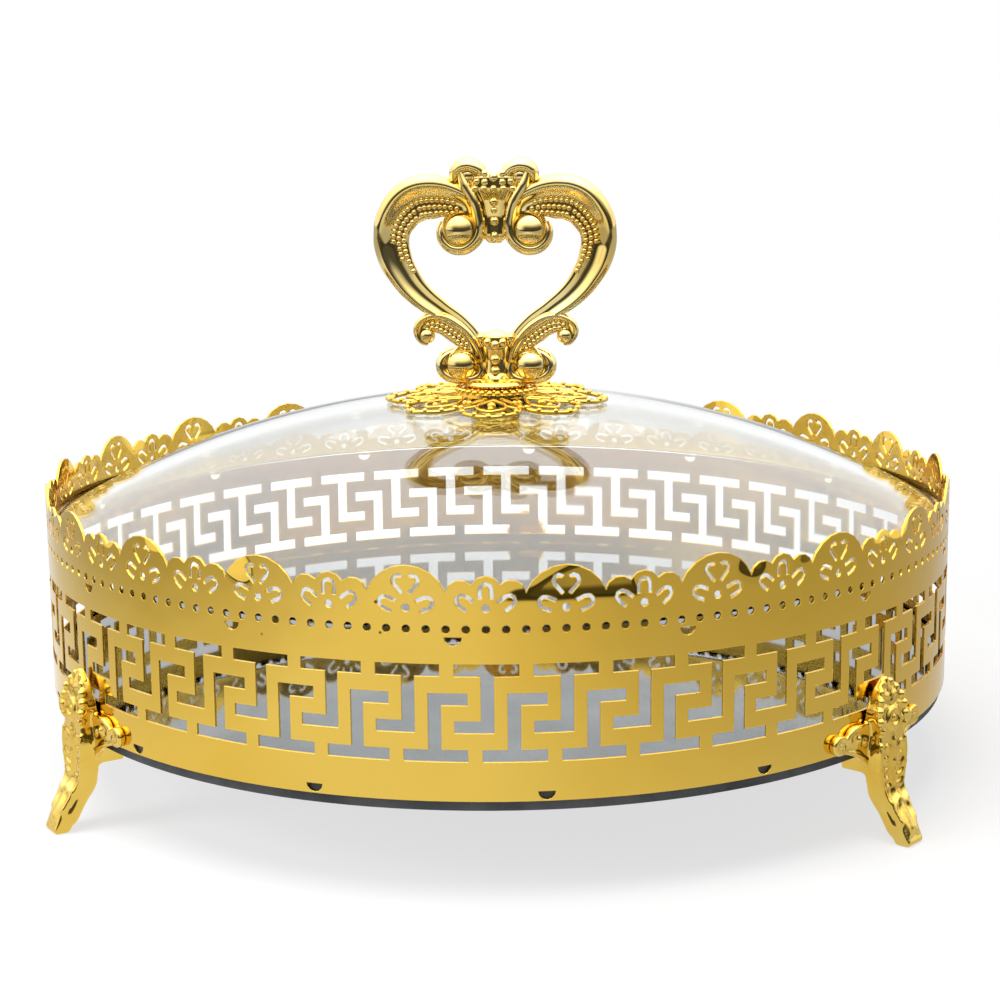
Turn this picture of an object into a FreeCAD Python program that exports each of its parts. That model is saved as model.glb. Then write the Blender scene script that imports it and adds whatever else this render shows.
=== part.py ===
"""Round buffet dish: a pierced gallery on cast feet, a mirror floor, and a glass dome with a heart handle."""
import FreeCAD, Part
import math
import os

import Sketcher
from FreeCAD import Vector

# Driving dimensions in millimetres. A name ending in "rise" is measured up from the gallery's lower edge.
SIZES = {
    "leg_height": 30.0,
    "band_radius": 150.0,
    "band_wall": 0.8,
    "key_base_rise": 11.6,
    "key_top_rise": 40.1,
    "key_arm_rise": 20.0,
    "key_slot": 3.6,
    "scallop_valley_rise": 60.5,
    "scallop_top_rise": 68.3,
    "lobe_middle_rise": 65.4,
    "lobe_side_rise": 64.2,
    "lobe_valley_rise": 62.9,
    "dot_rise": 50.1,
    "dot_diameter": 2.5,
    "eye_rise": 56.1,
    "eye_diameter": 2.5,
    "lace_slot": 1.1,
    "horseshoe_width": 4.4,
    "horseshoe_leg": 2.7,
    "heart_tip_rise": 60.1,
    "heart_tip_offset": 1.0,
    "heart_leg": 3.6,
    "heart_bow": 1.5,
    "crown_shoe_rise": 61.5,
    "wide_shoe_rise": 57.6,
    "wide_shoe_offset": 6.0,
    "lobe_shoe_rise": 58.3,
    "lobe_shoe_offset": 6.5,
    "tongue_radius": 2.5,
    "mirror_seat_rise": 3.7,
    "mirror_thickness": 4.0,
    "mirror_gap": 0.9,
    "mirror_bevel": 0.6,
    "board_drop": 3.0,
    "board_gap": 0.3,
    "lid_radius": 148.2,
    "lid_gap": 0.2,
    "lid_rim_rise": 53.0,
    "lid_seat_width": 1.6,
    "dome_rise": 91.0,
    "glass_thickness": 4.4,
    "glass_bore": 8.0,
    "stud_diameter": 6.0,
    "stud_depth": 14.0,
    "washer_diameter": 20.0,
    "washer_thickness": 0.8,
    "seat_gap": 0.1,
    "rosette_diameter": 76.0,
    "rosette_wall": 1.4,
    "rosette_boss_diameter": 26.0,
    "rosette_boss_height": 1.6,
    "ferrule_diameter": 15.4,
    "ferrule_height": 11.0,
    "ferrule_wall": 2.4,
    "heart_width": 80.4,
    "heart_height": 76.0,
    "heart_depth": 10.0,
    "bulb_diameter": 13.0,
    "column_diameter": 9.0,
    "collar_diameter": 22.0,
    "collar_height": 2.4,
    "leaf_height": 21.0,
    "leaf_width": 15.6,
    "leg_width": 15.0,
    "toe_reach": 15.0,
    "wing_span": 48.0,
    "wing_height": 8.2,
    "wing_wall": 1.8,
    "lug_reach": 8.0,
    "lug_wall": 5.5,
    "screw_diameter": 3.0,
    "screw_head_diameter": 5.2,
    "screw_head_height": 1.7,
    "screw_bite": 4.0,
    "screw_inset": 4.6,
    "cut_overrun": 1.0,
}
# Counts of what repeats, and angles in degrees from the front of the dish towards +X.
PATTERNS = {
    "key_count": 42,
    "panel_count": 7,
    "tongue_count": 14,
    "petal_count": 8,
    "dots_per_key": 4,
    "motif_angle": 11.45,
    "heart_leg_angle": 51,
    "heart_bow_angle": 174,
    "wide_shoe_angle": 67,
    "lobe_shoe_angle": 51.5,
    "lower_tongue_angle": 9.25,
    "upper_tongue_angle": 25.05,
    "front_foot_angle": 53.75,
    "back_foot_angle": 180,
}

doc = FreeCAD.newDocument("buffet_dish")
sheet = doc.addObject("Spreadsheet::Sheet", "Sizes")
for row, (alias, value) in enumerate({**SIZES, **PATTERNS}.items(), start=1):
    sheet.set(f"A{row}", alias.replace("_", " "))
    sheet.set(f"B{row}", str(value))
    sheet.setAlias(f"B{row}", alias)
doc.recompute()
UP = Vector(0, 0, 1)
BACK = Vector(0, 1, 0)
AXIS = Vector(0, 0, 0)
FRONT_ANGLE = 90


def size(alias):
    """One driving dimension, read back from the sheet."""
    return float(sheet.get(alias))


def count(alias):
    return int(sheet.get(alias))


def cell(alias):
    """The same dimension as an expression that a feature can be bound to."""
    return f"Sizes.{alias}"


def value_of(expression):
    """The number that an expression over the sheet gives."""
    return float(sheet.evalExpression(expression))


def above_band(alias):
    """Height over the table of a rise that is measured from the gallery's lower edge."""
    return f"({cell('leg_height')} + {cell(alias)})"


# The top of the mirror is the serving surface and its centre the origin. Heights are drawn from the table.
SERVING_HEIGHT = f"({above_band('mirror_seat_rise')} + {cell('mirror_thickness')})"


def seat(piece):
    """Lowers a piece that is drawn from the table until the serving surface lies at zero."""
    piece.setExpression("Placement.Base.z", f"-{SERVING_HEIGHT}")
    return piece


def new_sketch(body, name, role):
    sketch = body.newObject("Sketcher::SketchObject", name)
    plane = next(f for f in body.Origin.OriginFeatures if f.Role == role)
    sketch.AttachmentSupport = (plane, [""])
    sketch.MapMode = "FlatFace"
    return sketch


def bind(sketch, kind, edge, point, expression):
    """Ties one coordinate of a sketch point to an expression over the sheet."""
    number = sketch.addConstraint(Sketcher.Constraint(kind, -1, 1, edge, point, value_of(expression)))
    sketch.setExpression(f"Constraints[{number}]", expression)


def axis_arc(start, end):
    """The arc from one profile point to another whose centre lies on the upright axis."""
    middle = (start.dot(start) - end.dot(end)) / (2 * (start.y - end.y))
    centre = Vector(0, middle, 0)
    angles = sorted(math.atan2(p.y - middle, p.x) for p in (start, end))
    return Part.ArcOfCircle(Part.Circle(centre, UP, (start - centre).Length), *angles)


def turned(label, outline):
    """A piece turned about the upright axis. A corner is (radius, height, edge), and edge is "line" or "arc":
    an arc is centred on the axis and runs, like a line, to the next corner."""
    body = doc.addObject("PartDesign::Body", label)
    body.Label = label
    sketch = new_sketch(body, f"{label}_profile", "XZ_Plane")
    corners = [Vector(value_of(radius), value_of(height), 0) for radius, height, _ in outline]
    ends = []
    for i, (_, _, edge) in enumerate(outline):
        start = corners[i]
        end = corners[(i + 1) % len(corners)]
        sketch.addGeometry(axis_arc(start, end) if edge == "arc" else Part.LineSegment(start, end), False)
        ends.append((2, 1) if edge == "arc" and start.x < end.x else (1, 2))
    for i, (radius, height, edge) in enumerate(outline):
        before = (i - 1) % len(outline)
        first = ends[i][0]
        sketch.addConstraint(Sketcher.Constraint("Coincident", before, ends[before][1], i, first))
        if radius == "0":
            sketch.addConstraint(Sketcher.Constraint("PointOnObject", i, first, -2))
        else:
            bind(sketch, "DistanceX", i, first, radius)
        bind(sketch, "DistanceY", i, first, height)
        if edge == "arc":
            sketch.addConstraint(Sketcher.Constraint("PointOnObject", i, 3, -2))
    turning = body.newObject("PartDesign::Revolution", f"{label}_turning")
    turning.Profile = sketch
    turning.ReferenceAxis = (sketch, ["V_Axis"])
    turning.Angle = 360
    body.Tip = turning
    return seat(body)


def shaped(label, shape):
    """A cast or pierced piece, whose free form is worked out in code."""
    piece = doc.addObject("Part::Feature", label)
    piece.Label = label
    piece.Shape = shape
    return seat(piece)


def upright(outline, depth, setback=0):
    """An upright outline of (x, z) corners, pushed back along +Y by a depth."""
    corners = [Vector(x, setback, z) for x, z in outline]
    return Part.Face(Part.makePolygon(corners + corners[:1])).extrude(BACK * depth)


def arc_points(start, middle, end, steps):
    """Evenly spaced points on the arc through three points, without the last one."""
    arc = Part.Arc(*(Vector(x, 0, z) for x, z in (start, middle, end)))
    span = arc.LastParameter - arc.FirstParameter
    points = [arc.value(arc.FirstParameter + span * i / steps) for i in range(steps)]
    return [(p.x, p.z) for p in points]


def turn(shape, degrees):
    """A copy turned about the upright axis, from the front towards +X."""
    copy = shape.copy()
    copy.rotate(AXIS, UP, degrees)
    return copy


def tube(inner, outer, low, high):
    """A plain hoop between two radii and two heights."""
    return Part.makeCylinder(outer, high - low, UP * low).cut(Part.makeCylinder(inner, high - low, UP * low))


# Glass dome: a spherical cap. Shells that follow it are named by how far they stand off its outer face.
CAP_HEIGHT = f"({cell('dome_rise')} - {cell('lid_rim_rise')})"
SPHERE = f"(({cell('lid_radius')}^2 + {CAP_HEIGHT}^2) / (2 * {CAP_HEIGHT}))"
SPHERE_CENTRE = f"({above_band('dome_rise')} - {SPHERE})"


def dome(radius, offset):
    """Height over the table, at a radius, of the sphere that stands off the glass by an offset."""
    return f"({SPHERE_CENTRE} + sqrt(({SPHERE} + {offset})^2 - {radius}^2))"


INSIDE = f"(0 - {cell('glass_thickness')})"
LID_SEAT_RADIUS = f"({cell('lid_radius')} - {cell('lid_seat_width')})"
LID_BOTTOM = dome(LID_SEAT_RADIUS, INSIDE)
UPPER_WASHER = cell("seat_gap")
ROSETTE = f"(2 * {cell('seat_gap')} + {cell('washer_thickness')})"
LOWER_WASHER = f"({INSIDE} - {cell('seat_gap')})"
FERRULE = f"({INSIDE} - 2 * {cell('seat_gap')} - {cell('washer_thickness')})"
STUD_RADIUS = f"({cell('stud_diameter')} / 2)"
STUD_BORE = f"({STUD_RADIUS} + {cell('seat_gap')})"
BOSS_TOP = f"({dome('0', ROSETTE)} + {cell('rosette_wall')} + {cell('rosette_boss_height')})"
HANDLE_BASE = f"({BOSS_TOP} + {cell('seat_gap')})"


def glass_lid():
    bore = f"({cell('glass_bore')} / 2)"
    return turned("glass_lid", [
        (bore, dome(bore, INSIDE), "arc"),
        (LID_SEAT_RADIUS, LID_BOTTOM, "line"),
        (cell("lid_radius"), LID_BOTTOM, "line"),
        (cell("lid_radius"), above_band("lid_rim_rise"), "arc"),
        (bore, dome(bore, "0"), "line"),
    ])


def washer(label, lower):
    """A soft washer dished to the slope of the glass."""
    rim = f"({cell('washer_diameter')} / 2)"
    upper = f"({lower} + {cell('washer_thickness')})"
    return turned(label, [
        (STUD_BORE, dome(STUD_BORE, lower), "line"),
        (rim, dome(rim, lower), "line"),
        (rim, dome(rim, upper), "line"),
        (STUD_BORE, dome(STUD_BORE, upper), "line"),
    ])


def ferrule():
    """The capped nut under the glass that the stud is drawn into."""
    rim = f"({cell('ferrule_diameter')} / 2)"
    top = dome(rim, FERRULE)
    floor = f"({top} - {cell('ferrule_height')})"
    return turned("ferrule_nut", [
        ("0", floor, "line"),
        (rim, floor, "line"),
        (rim, top, "line"),
        (STUD_BORE, top, "line"),
        (STUD_BORE, f"({floor} + {cell('ferrule_wall')})", "line"),
        ("0", f"({floor} + {cell('ferrule_wall')})", "line"),
    ])


def stud():
    """The rod that runs from the ferrule through the glass into the handle."""
    rim = f"({cell('ferrule_diameter')} / 2)"
    low = f"({dome(rim, FERRULE)} - {cell('ferrule_height')} + {cell('ferrule_wall')} + {cell('seat_gap')})"
    high = f"({HANDLE_BASE} + {cell('stud_depth')} - {cell('seat_gap')})"
    return turned("handle_stud", [
        ("0", low, "line"),
        (STUD_RADIUS, low, "line"),
        (STUD_RADIUS, high, "line"),
        ("0", high, "line"),
    ])


def mirror_plate():
    radius = f"({cell('band_radius')} - {cell('band_wall')} - {cell('mirror_gap')})"
    low = above_band("mirror_seat_rise")
    bevel = cell("mirror_bevel")
    return turned("mirror_plate", [
        ("0", low, "line"),
        (f"({radius} - {bevel})", low, "line"),
        (radius, f"({low} + {bevel})", "line"),
        (radius, f"({SERVING_HEIGHT} - {bevel})", "line"),
        (f"({radius} - {bevel})", SERVING_HEIGHT, "line"),
        ("0", SERVING_HEIGHT, "line"),
    ])


# Gallery: a sheet hoop with its Greek key, its scalloped edge, and tongues folded in from half-moon windows.
KEY_BAR_SHARE = 4.9 / 6
KEY_STEM_SHARES = (2 / 6, 3 / 6)
KEY_TWIN_SHARE = 3.5 / 6
LOBE_DIP_SHARE = 0.35
LOBE_SIDE_SHARE = 0.625
SCALLOP_STEPS = 8
LOBE_STEPS = 4
TONGUE_STEPS = 6
BOW_STEPS = 4
HOLE_SIDES = 8


def key_openings(pitch):
    """The two S-shaped openings of one key. The second is the first, turned half round."""
    base = size("leg_height")
    top = base + size("key_top_rise")
    arm = base + size("key_arm_rise")
    slot = size("key_slot")
    left = -pitch * KEY_BAR_SHARE / 2
    stem_left, stem_right = (left + pitch * share for share in KEY_STEM_SHARES)
    upper = [(stem_left, top - slot), (left, top - slot), (left, top), (-left, top), (-left, top - slot)]
    lower = [(stem_right, arm), (left, arm), (left, arm + slot), (stem_left, arm + slot)]
    opening = upper + [(stem_right, top - slot)] + lower
    turn_x = 2 * (left + pitch * KEY_TWIN_SHARE)
    turn_z = 2 * base + size("key_top_rise") + size("key_base_rise")
    return opening, [(turn_x - x, turn_z - z) for x, z in opening]


def scallop(half, large):
    """What is cut away above the scalloped edge over one key."""
    base = size("leg_height")
    valley = base + size("scallop_valley_rise")
    crest = base + size("scallop_top_rise")
    top = crest + size("cut_overrun")
    left, right = (-half, valley), (half, valley)
    if large:
        edge = arc_points(left, (0, crest), right, SCALLOP_STEPS)
    else:
        dip_x, dip = half * LOBE_DIP_SHARE, base + size("lobe_valley_rise")
        side_x, side = half * LOBE_SIDE_SHARE, base + size("lobe_side_rise")
        edge = arc_points(left, (-side_x, side), (-dip_x, dip), LOBE_STEPS)
        edge += arc_points((-dip_x, dip), (0, base + size("lobe_middle_rise")), (dip_x, dip), LOBE_STEPS)
        edge += arc_points((dip_x, dip), (side_x, side), right, LOBE_STEPS)
    return edge + [right, (half, top), (-half, top)]


def slot(start, heading, leg, bow, sweep, last_leg):
    """Outline of a slit of even width: a straight leg, a bow to the left and a second leg."""
    half = size("lace_slot") / 2
    way = math.radians(heading)
    centre = Vector(*start) + Vector(math.cos(way), math.sin(way)) * leg
    centre += Vector(-math.sin(way), math.cos(way)) * bow
    sides = []
    for radius in (bow + half, bow - half):
        turns = [way + math.radians(sweep) * i / BOW_STEPS for i in range(BOW_STEPS + 1)]
        arc = [centre + Vector(math.sin(a), -math.cos(a)) * radius for a in turns]
        first = arc[0] - Vector(math.cos(way), math.sin(way)) * leg
        last = arc[-1] + Vector(math.cos(turns[-1]), math.sin(turns[-1])) * last_leg
        sides.append([first, *arc, last] if last_leg else [first, *arc])
    return [(p.x, p.y) for p in sides[0] + sides[1][::-1]]


def horseshoe(offset, rise, tilt):
    """A slit bent like a horseshoe. Its bow is centred at an offset and a rise, and leans to +X by a tilt."""
    leg = size("horseshoe_leg")
    bow = (size("horseshoe_width") - size("lace_slot")) / 2
    way = math.radians(90 - tilt)
    along = Vector(math.cos(way), math.sin(way))
    aside = Vector(math.sin(way), -math.cos(way))
    start = Vector(offset, size("leg_height") + rise) + aside * bow - along * leg
    return slot((start.x, start.y), 90 - tilt, leg, bow, 180, leg)


def round_hole(offset, rise, diameter):
    """A small round hole, drawn with few sides because there are many."""
    turns = [2 * math.pi * (i + 0.5) / HOLE_SIDES for i in range(HOLE_SIDES)]
    height = size("leg_height") + rise
    return [(offset + diameter / 2 * math.cos(a), height + diameter / 2 * math.sin(a)) for a in turns]


def reflected(outline):
    return [(-x, z) for x, z in outline]


def lace(large):
    """The openings of one scallop: a heart between two horseshoes, or three horseshoes in a fan."""
    if large:
        tip = (size("heart_tip_offset"), size("leg_height") + size("heart_tip_rise"))
        bow, angle = size("heart_bow"), size("heart_bow_angle")
        heart = slot(tip, size("heart_leg_angle"), size("heart_leg"), bow, angle, 0)
        shoe = horseshoe(size("wide_shoe_offset"), size("wide_shoe_rise"), size("wide_shoe_angle"))
        pairs = [heart, shoe]
        single = []
    else:
        pairs = [horseshoe(size("lobe_shoe_offset"), size("lobe_shoe_rise"), size("lobe_shoe_angle"))]
        single = [horseshoe(0, size("crown_shoe_rise"), 0)]
    eye = round_hole(0, size("eye_rise"), size("eye_diameter"))
    return [eye, *single, *pairs, *(reflected(outline) for outline in pairs)]


def tongue(seat_height):
    """One tongue and the half-moon window that it was folded in from."""
    radius, wall = size("tongue_radius"), size("band_wall")
    root = -(size("band_radius") - wall / 2)
    bow = arc_points((-radius, 0), (0, radius), (radius, 0), TONGUE_STEPS) + [(radius, 0)]
    corners = [Vector(x, root + z, seat_height - wall) for x, z in bow]
    tab = Part.Face(Part.makePolygon(corners + corners[:1])).extrude(UP * wall)
    return tab, [(x, seat_height - wall - z) for x, z in bow]


def gallery_panel(start, panels):
    """One of the like stretches that the hoop is made of, pierced, with its tongues."""
    radius, wall = size("band_radius"), size("band_wall")
    overrun = size("cut_overrun")
    base, keys, dots = size("leg_height"), count("key_count"), count("dots_per_key")
    half = radius * math.sin(math.pi / keys)
    pitch = 2 * math.pi * radius / keys
    reach = radius - math.sqrt(radius**2 - pitch**2) + wall + 2 * overrun

    def cut(outline, angle):
        return turn(upright(outline, reach, -radius - overrun), angle)

    cuts = []
    for i in range(-1, keys // panels + 1):
        large = i % 2 == 0
        places = [pitch * j / dots - pitch / 2 for j in range(dots)]
        outlines = [*key_openings(pitch), scallop(half + size("seat_gap"), large), *lace(large)]
        outlines += [round_hole(x, size("dot_rise"), size("dot_diameter")) for x in places]
        cuts += [cut(outline, start + 360 * (i + 0.5) / keys) for outline in outlines]
    tabs = []
    rows = ((value_of(above_band("mirror_seat_rise")), "lower_tongue_angle"),
            (value_of(LID_BOTTOM) - size("lid_gap"), "upper_tongue_angle"))
    for seat_height, first in rows:
        tab, window = tongue(seat_height)
        for i in range(count("tongue_count") // panels):
            angle = size(first) + 360 * i / count("tongue_count")
            cuts.append(cut(window, angle))
            tabs.append(turn(tab, angle))
    height = size("scallop_top_rise")
    stretch = Part.makeCylinder(radius, height, UP * base, UP, 360 / panels)
    stretch = turn(stretch.cut(Part.makeCylinder(radius - wall, height, UP * base)), start - FRONT_ANGLE)
    return stretch.cut(cuts).fuse(tabs)


def gallery_band():
    """The whole hoop: one stretch, repeated round the dish and joined into one sheet."""
    panels = count("panel_count")
    start = size("motif_angle") - 180 / count("key_count")
    panel = gallery_panel(start, panels)
    stretches = [turn(panel, 360 * i / panels) for i in range(panels)]
    return shaped("gallery_band", stretches[0].fuse(stretches[1:]))


# Feet: a cabriole leg with a leaf up the gallery, scrolled wings beside it and a lug under the board.
LEAF_OUTER_SHARES = [(0.15, 1.0), (0.30, 0.72), (0.37, 0.36), (0.385, 0.0)]
LEG_OUTER_SHARES = [(0.375, 0.22), (0.41, 0.45), (0.62, 0.63), (0.80, 0.76), (0.95, 0.92), (1.0, 0.97)]
SOLE_SHARES = (0.93, 0.66)
LEG_INNER_SHARES = [(0.56, 0.90), (0.50, 0.80), (0.30, 0.69), (0.14, 0.55), (0.02, 0.38), (0.03, 0.30)]
LEAF_FRONT_SHARES = [(0.0, 1.0), (0.62, 0.84), (0.90, 0.62), (1.0, 0.42), (0.86, 0.28)]
LEG_FRONT_SHARES = [(1.0, 0.0), (1.0, 0.20), (0.92, 0.30), (0.78, 0.43), (0.66, 0.60), (0.58, 0.78), (0.60, 0.90),
                    (0.54, 1.0)]
WING_SHARES = [(0.0, 0.9), (0.26, 0.94), (0.5, 1.0), (0.68, 0.86), (0.75, 0.66), (0.87, 0.82), (0.98, 0.62),
               (0.99, 0.34), (0.92, 0.1), (0.8, 0.02), (0.66, 0.06), (0.5, -0.3), (0.34, -0.6), (0.0, -0.7)]
LUG_HEEL_SHARE = 0.15


def curve(points):
    """A smooth edge through points."""
    spline = Part.BSplineCurve()
    spline.interpolate(points)
    return spline.toShape()


def leg_side():
    """Side view of the leg in the plane through the dish's axis, as a face."""
    radius, base = size("band_radius"), size("leg_height")
    reach, leaf = size("toe_reach"), size("leaf_height")
    under = base - size("board_drop")

    def at(share, z):
        return Vector(0, -radius - share * reach, z)

    outer = [at(s, base + up * leaf) for s, up in LEAF_OUTER_SHARES]
    outer += [at(s, base - down * base) for s, down in LEG_OUTER_SHARES]
    toe, heel = (at(s, 0) for s in SOLE_SHARES)
    inner = [heel] + [at(s, base - down * base) for s, down in LEG_INNER_SHARES]
    lug_end = Vector(0, -radius + size("lug_reach"), under)
    lug_low = lug_end - UP * size("lug_wall")
    lug_heel = lug_low - BACK * size("lug_reach") * (1 - LUG_HEEL_SHARE)
    inside = BACK * size("band_wall")
    corner = Vector(0, -radius, under) + inside
    run = [inner[-1], lug_heel, lug_low, lug_end, corner, outer[0] + inside, outer[0]]
    edges = [curve(outer), Part.makeLine(outer[-1], toe), Part.makeLine(toe, heel), curve(inner)]
    edges += [Part.makeLine(a, b) for a, b in zip(run, run[1:])]
    return Part.Face(Part.Wire(Part.__sortEdges__(edges)))


def mirrored_face(points):
    """A face bounded by a smooth edge from top to bottom and by its reflection in the upright plane."""
    other = [Vector(-p.x, p.y, p.z) for p in points]
    edges = [curve(points), curve(other)]
    for a, b in ((points[0], other[0]), (points[-1], other[-1])):
        if (a - b).Length > 0:
            edges.append(Part.makeLine(a, b))
    return Part.Face(Part.Wire(Part.__sortEdges__(edges)))


def foot():
    radius, base = size("band_radius"), size("leg_height")
    overrun, gap = size("cut_overrun"), size("seat_gap")
    front = -radius - size("toe_reach") - overrun
    depth = size("toe_reach") + size("lug_reach") + 2 * overrun
    leaf, half_leaf = size("leaf_height"), size("leaf_width") / 2
    half_leg = size("leg_width") / 2
    points = [Vector(s * half_leaf, front, base + up * leaf) for s, up in LEAF_FRONT_SHARES]
    points += [Vector(s * half_leg, front, base - down * base) for s, down in LEG_FRONT_SHARES]
    face = mirrored_face(points).extrude(BACK * depth)
    side = leg_side()
    side.translate(Vector(-size("leg_width"), 0, 0))
    leg = side.extrude(Vector(2 * size("leg_width"), 0, 0)).common(face)
    half_wing, rise = size("wing_span") / 2, size("wing_height")
    points = [Vector(s * half_wing, front, base + up * rise) for s, up in WING_SHARES]
    low, high = base - rise, base + leaf + overrun
    hoop = tube(radius + gap, radius + gap + size("wing_wall"), low, high)
    wing = mirrored_face(points).extrude(BACK * depth).common(hoop)
    under = base - size("board_drop")
    room = Part.makeCylinder(radius + gap, high - under, UP * under)
    hole = Part.makeCylinder(size("screw_diameter") / 2 + gap, base, screw_place() - UP * base)
    return leg.cut(room).fuse(wing).cut(hole)


def screw_place():
    """Where the front foot's screw enters the underside of the board."""
    return Vector(0, -size("band_radius") + size("screw_inset"), size("leg_height") - size("board_drop"))


FOOT_ANGLES = {
    "foot_left": f"(0 - {cell('front_foot_angle')})",
    "foot_right": cell("front_foot_angle"),
    "foot_back": cell("back_foot_angle"),
}


def feet():
    shape = foot()
    return [shaped(label, turn(shape, value_of(angle))) for label, angle in FOOT_ANGLES.items()]


def foot_screws():
    """One round-headed screw up through each foot's lug into the board."""
    shank = size("screw_diameter") / 2
    head_top = screw_place() - UP * size("lug_wall")
    screw = Part.makeCylinder(shank, size("lug_wall") + size("screw_bite"), head_top)
    head = Part.makeCone(size("screw_head_diameter") / 2, shank, size("screw_head_height"), head_top, -UP)
    screw = screw.fuse(head)
    screws = [turn(screw, value_of(angle)) for angle in FOOT_ANGLES.values()]
    return shaped("foot_screws", Part.makeCompound(screws))


def base_board():
    """The dark board that closes the dish below, with a pilot bore for each foot screw."""
    board = doc.addObject("Part::Cylinder", "board_blank")
    board.setExpression("Radius", f"{cell('band_radius')} - {cell('band_wall')} - {cell('board_gap')}")
    board.setExpression("Height", f"{cell('board_drop')} + {cell('mirror_seat_rise')} - {cell('band_wall')}")
    board.setExpression("Placement.Base.z", f"{cell('leg_height')} - {cell('board_drop')}")
    bores = []
    for label, angle in FOOT_ANGLES.items():
        bore = doc.addObject("Part::Cylinder", f"{label}_bore")
        circle = f"({cell('band_radius')} - {cell('screw_inset')})"
        bore.setExpression("Radius", f"{cell('screw_diameter')} / 2 + {cell('seat_gap')}")
        bore.setExpression("Height", f"{cell('cut_overrun')} + {cell('screw_bite')} + {cell('seat_gap')}")
        bore.setExpression("Placement.Base.x", f"{circle} * sin({angle} * 1 deg)")
        bore.setExpression("Placement.Base.y", f"-{circle} * cos({angle} * 1 deg)")
        drop = f"{cell('leg_height')} - {cell('board_drop')} - {cell('cut_overrun')}"
        bore.setExpression("Placement.Base.z", drop)
        bores.append(bore)
    group = doc.addObject("Part::Compound", "board_bores")
    group.Links = bores
    drilled = doc.addObject("Part::Cut", "base_board")
    drilled.Label = "base_board"
    drilled.Base = board
    drilled.Tool = group
    return seat(drilled)


# Rosette: a pierced flower that lies on the crown of the glass under the handle.
PETAL_VALLEY_SHARE = 0.72
PETAL_EYE_SHARES = (0.70, 0.10)
PETAL_SLIT_SHARES = (0.50, 0.06)
DISH_SHARES = (0.40, 0.70, 1.0)


def rosette_dish():
    """The flower before it is pierced: a dish that follows the glass, with a flat boss for the handle."""
    bore, top = value_of(STUD_BORE), value_of(BOSS_TOP)
    boss = size("rosette_boss_diameter") / 2
    raised = f"({ROSETTE} + {cell('rosette_wall')})"
    rings = [share * size("rosette_diameter") / 2 for share in DISH_SHARES]
    lower = [(r, value_of(dome(str(r), ROSETTE))) for r in [bore, *rings]]
    upper = [(r, value_of(dome(str(r), raised))) for r in [*reversed(rings), boss]]
    corners = [Vector(r, 0, z) for r, z in [*lower, *upper, (boss, top), (bore, top)]]
    return Part.Face(Part.makePolygon(corners + corners[:1])).revolve(AXIS, UP, 360)


def rosette():
    petals = count("petal_count")
    radius = size("rosette_diameter") / 2
    low = value_of(dome(f"({cell('rosette_diameter')} / 2)", "0"))
    height = value_of(BOSS_TOP) + size("cut_overrun") - low

    def at(share, steps):
        angle = math.radians(360 * steps / petals)
        return Vector(radius * share * math.sin(angle), -radius * share * math.cos(angle), low)

    edges = []
    holes = []
    for i in range(petals):
        valleys = at(PETAL_VALLEY_SHARE, i - 0.5), at(PETAL_VALLEY_SHARE, i + 0.5)
        edges.append(Part.Arc(valleys[0], at(1, i), valleys[1]).toShape())
        for (far, across), steps in ((PETAL_EYE_SHARES, i), (PETAL_SLIT_SHARES, i + 0.5)):
            holes.append(Part.makeCylinder(radius * across, height, at(far, steps)))
    flower = Part.Face(Part.Wire(edges)).extrude(UP * height)
    return shaped("rosette", rosette_dish().common(flower).cut(holes))


# Heart handle: mirrored scrolls on a column. Places are shares of half the width and of the height,
# and each section's half breadth is a share of half the width.
SIDE_SCROLL_SHARES = [(0.19, 0.70, 0.07), (0.24, 0.80, 0.11), (0.37, 0.86, 0.15), (0.55, 0.855, 0.17),
                      (0.73, 0.81, 0.17), (0.85, 0.72, 0.15), (0.855, 0.63, 0.145), (0.78, 0.535, 0.125),
                      (0.645, 0.45, 0.11), (0.505, 0.385, 0.095), (0.34, 0.325, 0.085), (0.215, 0.26, 0.085),
                      (0.14, 0.165, 0.08)]
FOOT_SCROLL_SHARES = [(0.60, 0.245, 0.05), (0.63, 0.30, 0.075), (0.55, 0.325, 0.09), (0.40, 0.275, 0.11),
                      (0.26, 0.205, 0.11), (0.21, 0.135, 0.09)]
TOP_CURL_SHARES = [(0.11, 0.735, 0.06), (0.16, 0.835, 0.06), (0.225, 0.905, 0.064), (0.25, 0.945, 0.06),
                   (0.19, 0.965, 0.052), (0.11, 0.945, 0.045)]
BULB_SHARES = [(0.295, 0.695), (0.285, 0.095)]
BULB_PROFILE_SHARES = [(0.0, 0.92), (0.36, 0.92), (0.78, 0.66), (1.0, 0.25), (1.0, -0.25), (0.78, -0.66),
                       (0.36, -0.92), (0.0, -0.92)]
COLUMN_SHARES = [(0.0, 0.30), (0.66, 0.93)]
SECTION_DEPTH_SHARE = 0.9
SECTION_SIDES = 12


def heart_point(x_share, z_share):
    half, height = size("heart_width") / 2, size("heart_height")
    return Vector(-x_share * half, 0, value_of(HANDLE_BASE) + z_share * height)


def scroll(shares):
    """A tapering roll through oval sections, each square to the way that the roll runs."""
    places = [heart_point(x, z) for x, z, _ in shares]
    sections = []
    for i, (_, _, breadth) in enumerate(shares):
        along = places[min(i + 1, len(places) - 1)] - places[max(i - 1, 0)]
        across = along.cross(BACK).normalize()
        wide = breadth * size("heart_width") / 2
        thick = min(wide * SECTION_DEPTH_SHARE, size("heart_depth") / 2)
        turns = [2 * math.pi * j / SECTION_SIDES for j in range(SECTION_SIDES)]
        oval = [places[i] + across * wide * math.cos(a) + BACK * thick * math.sin(a) for a in turns]
        sections.append(Part.makePolygon(oval + oval[:1]))
    return Part.makeLoft(sections, True, True)


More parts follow.
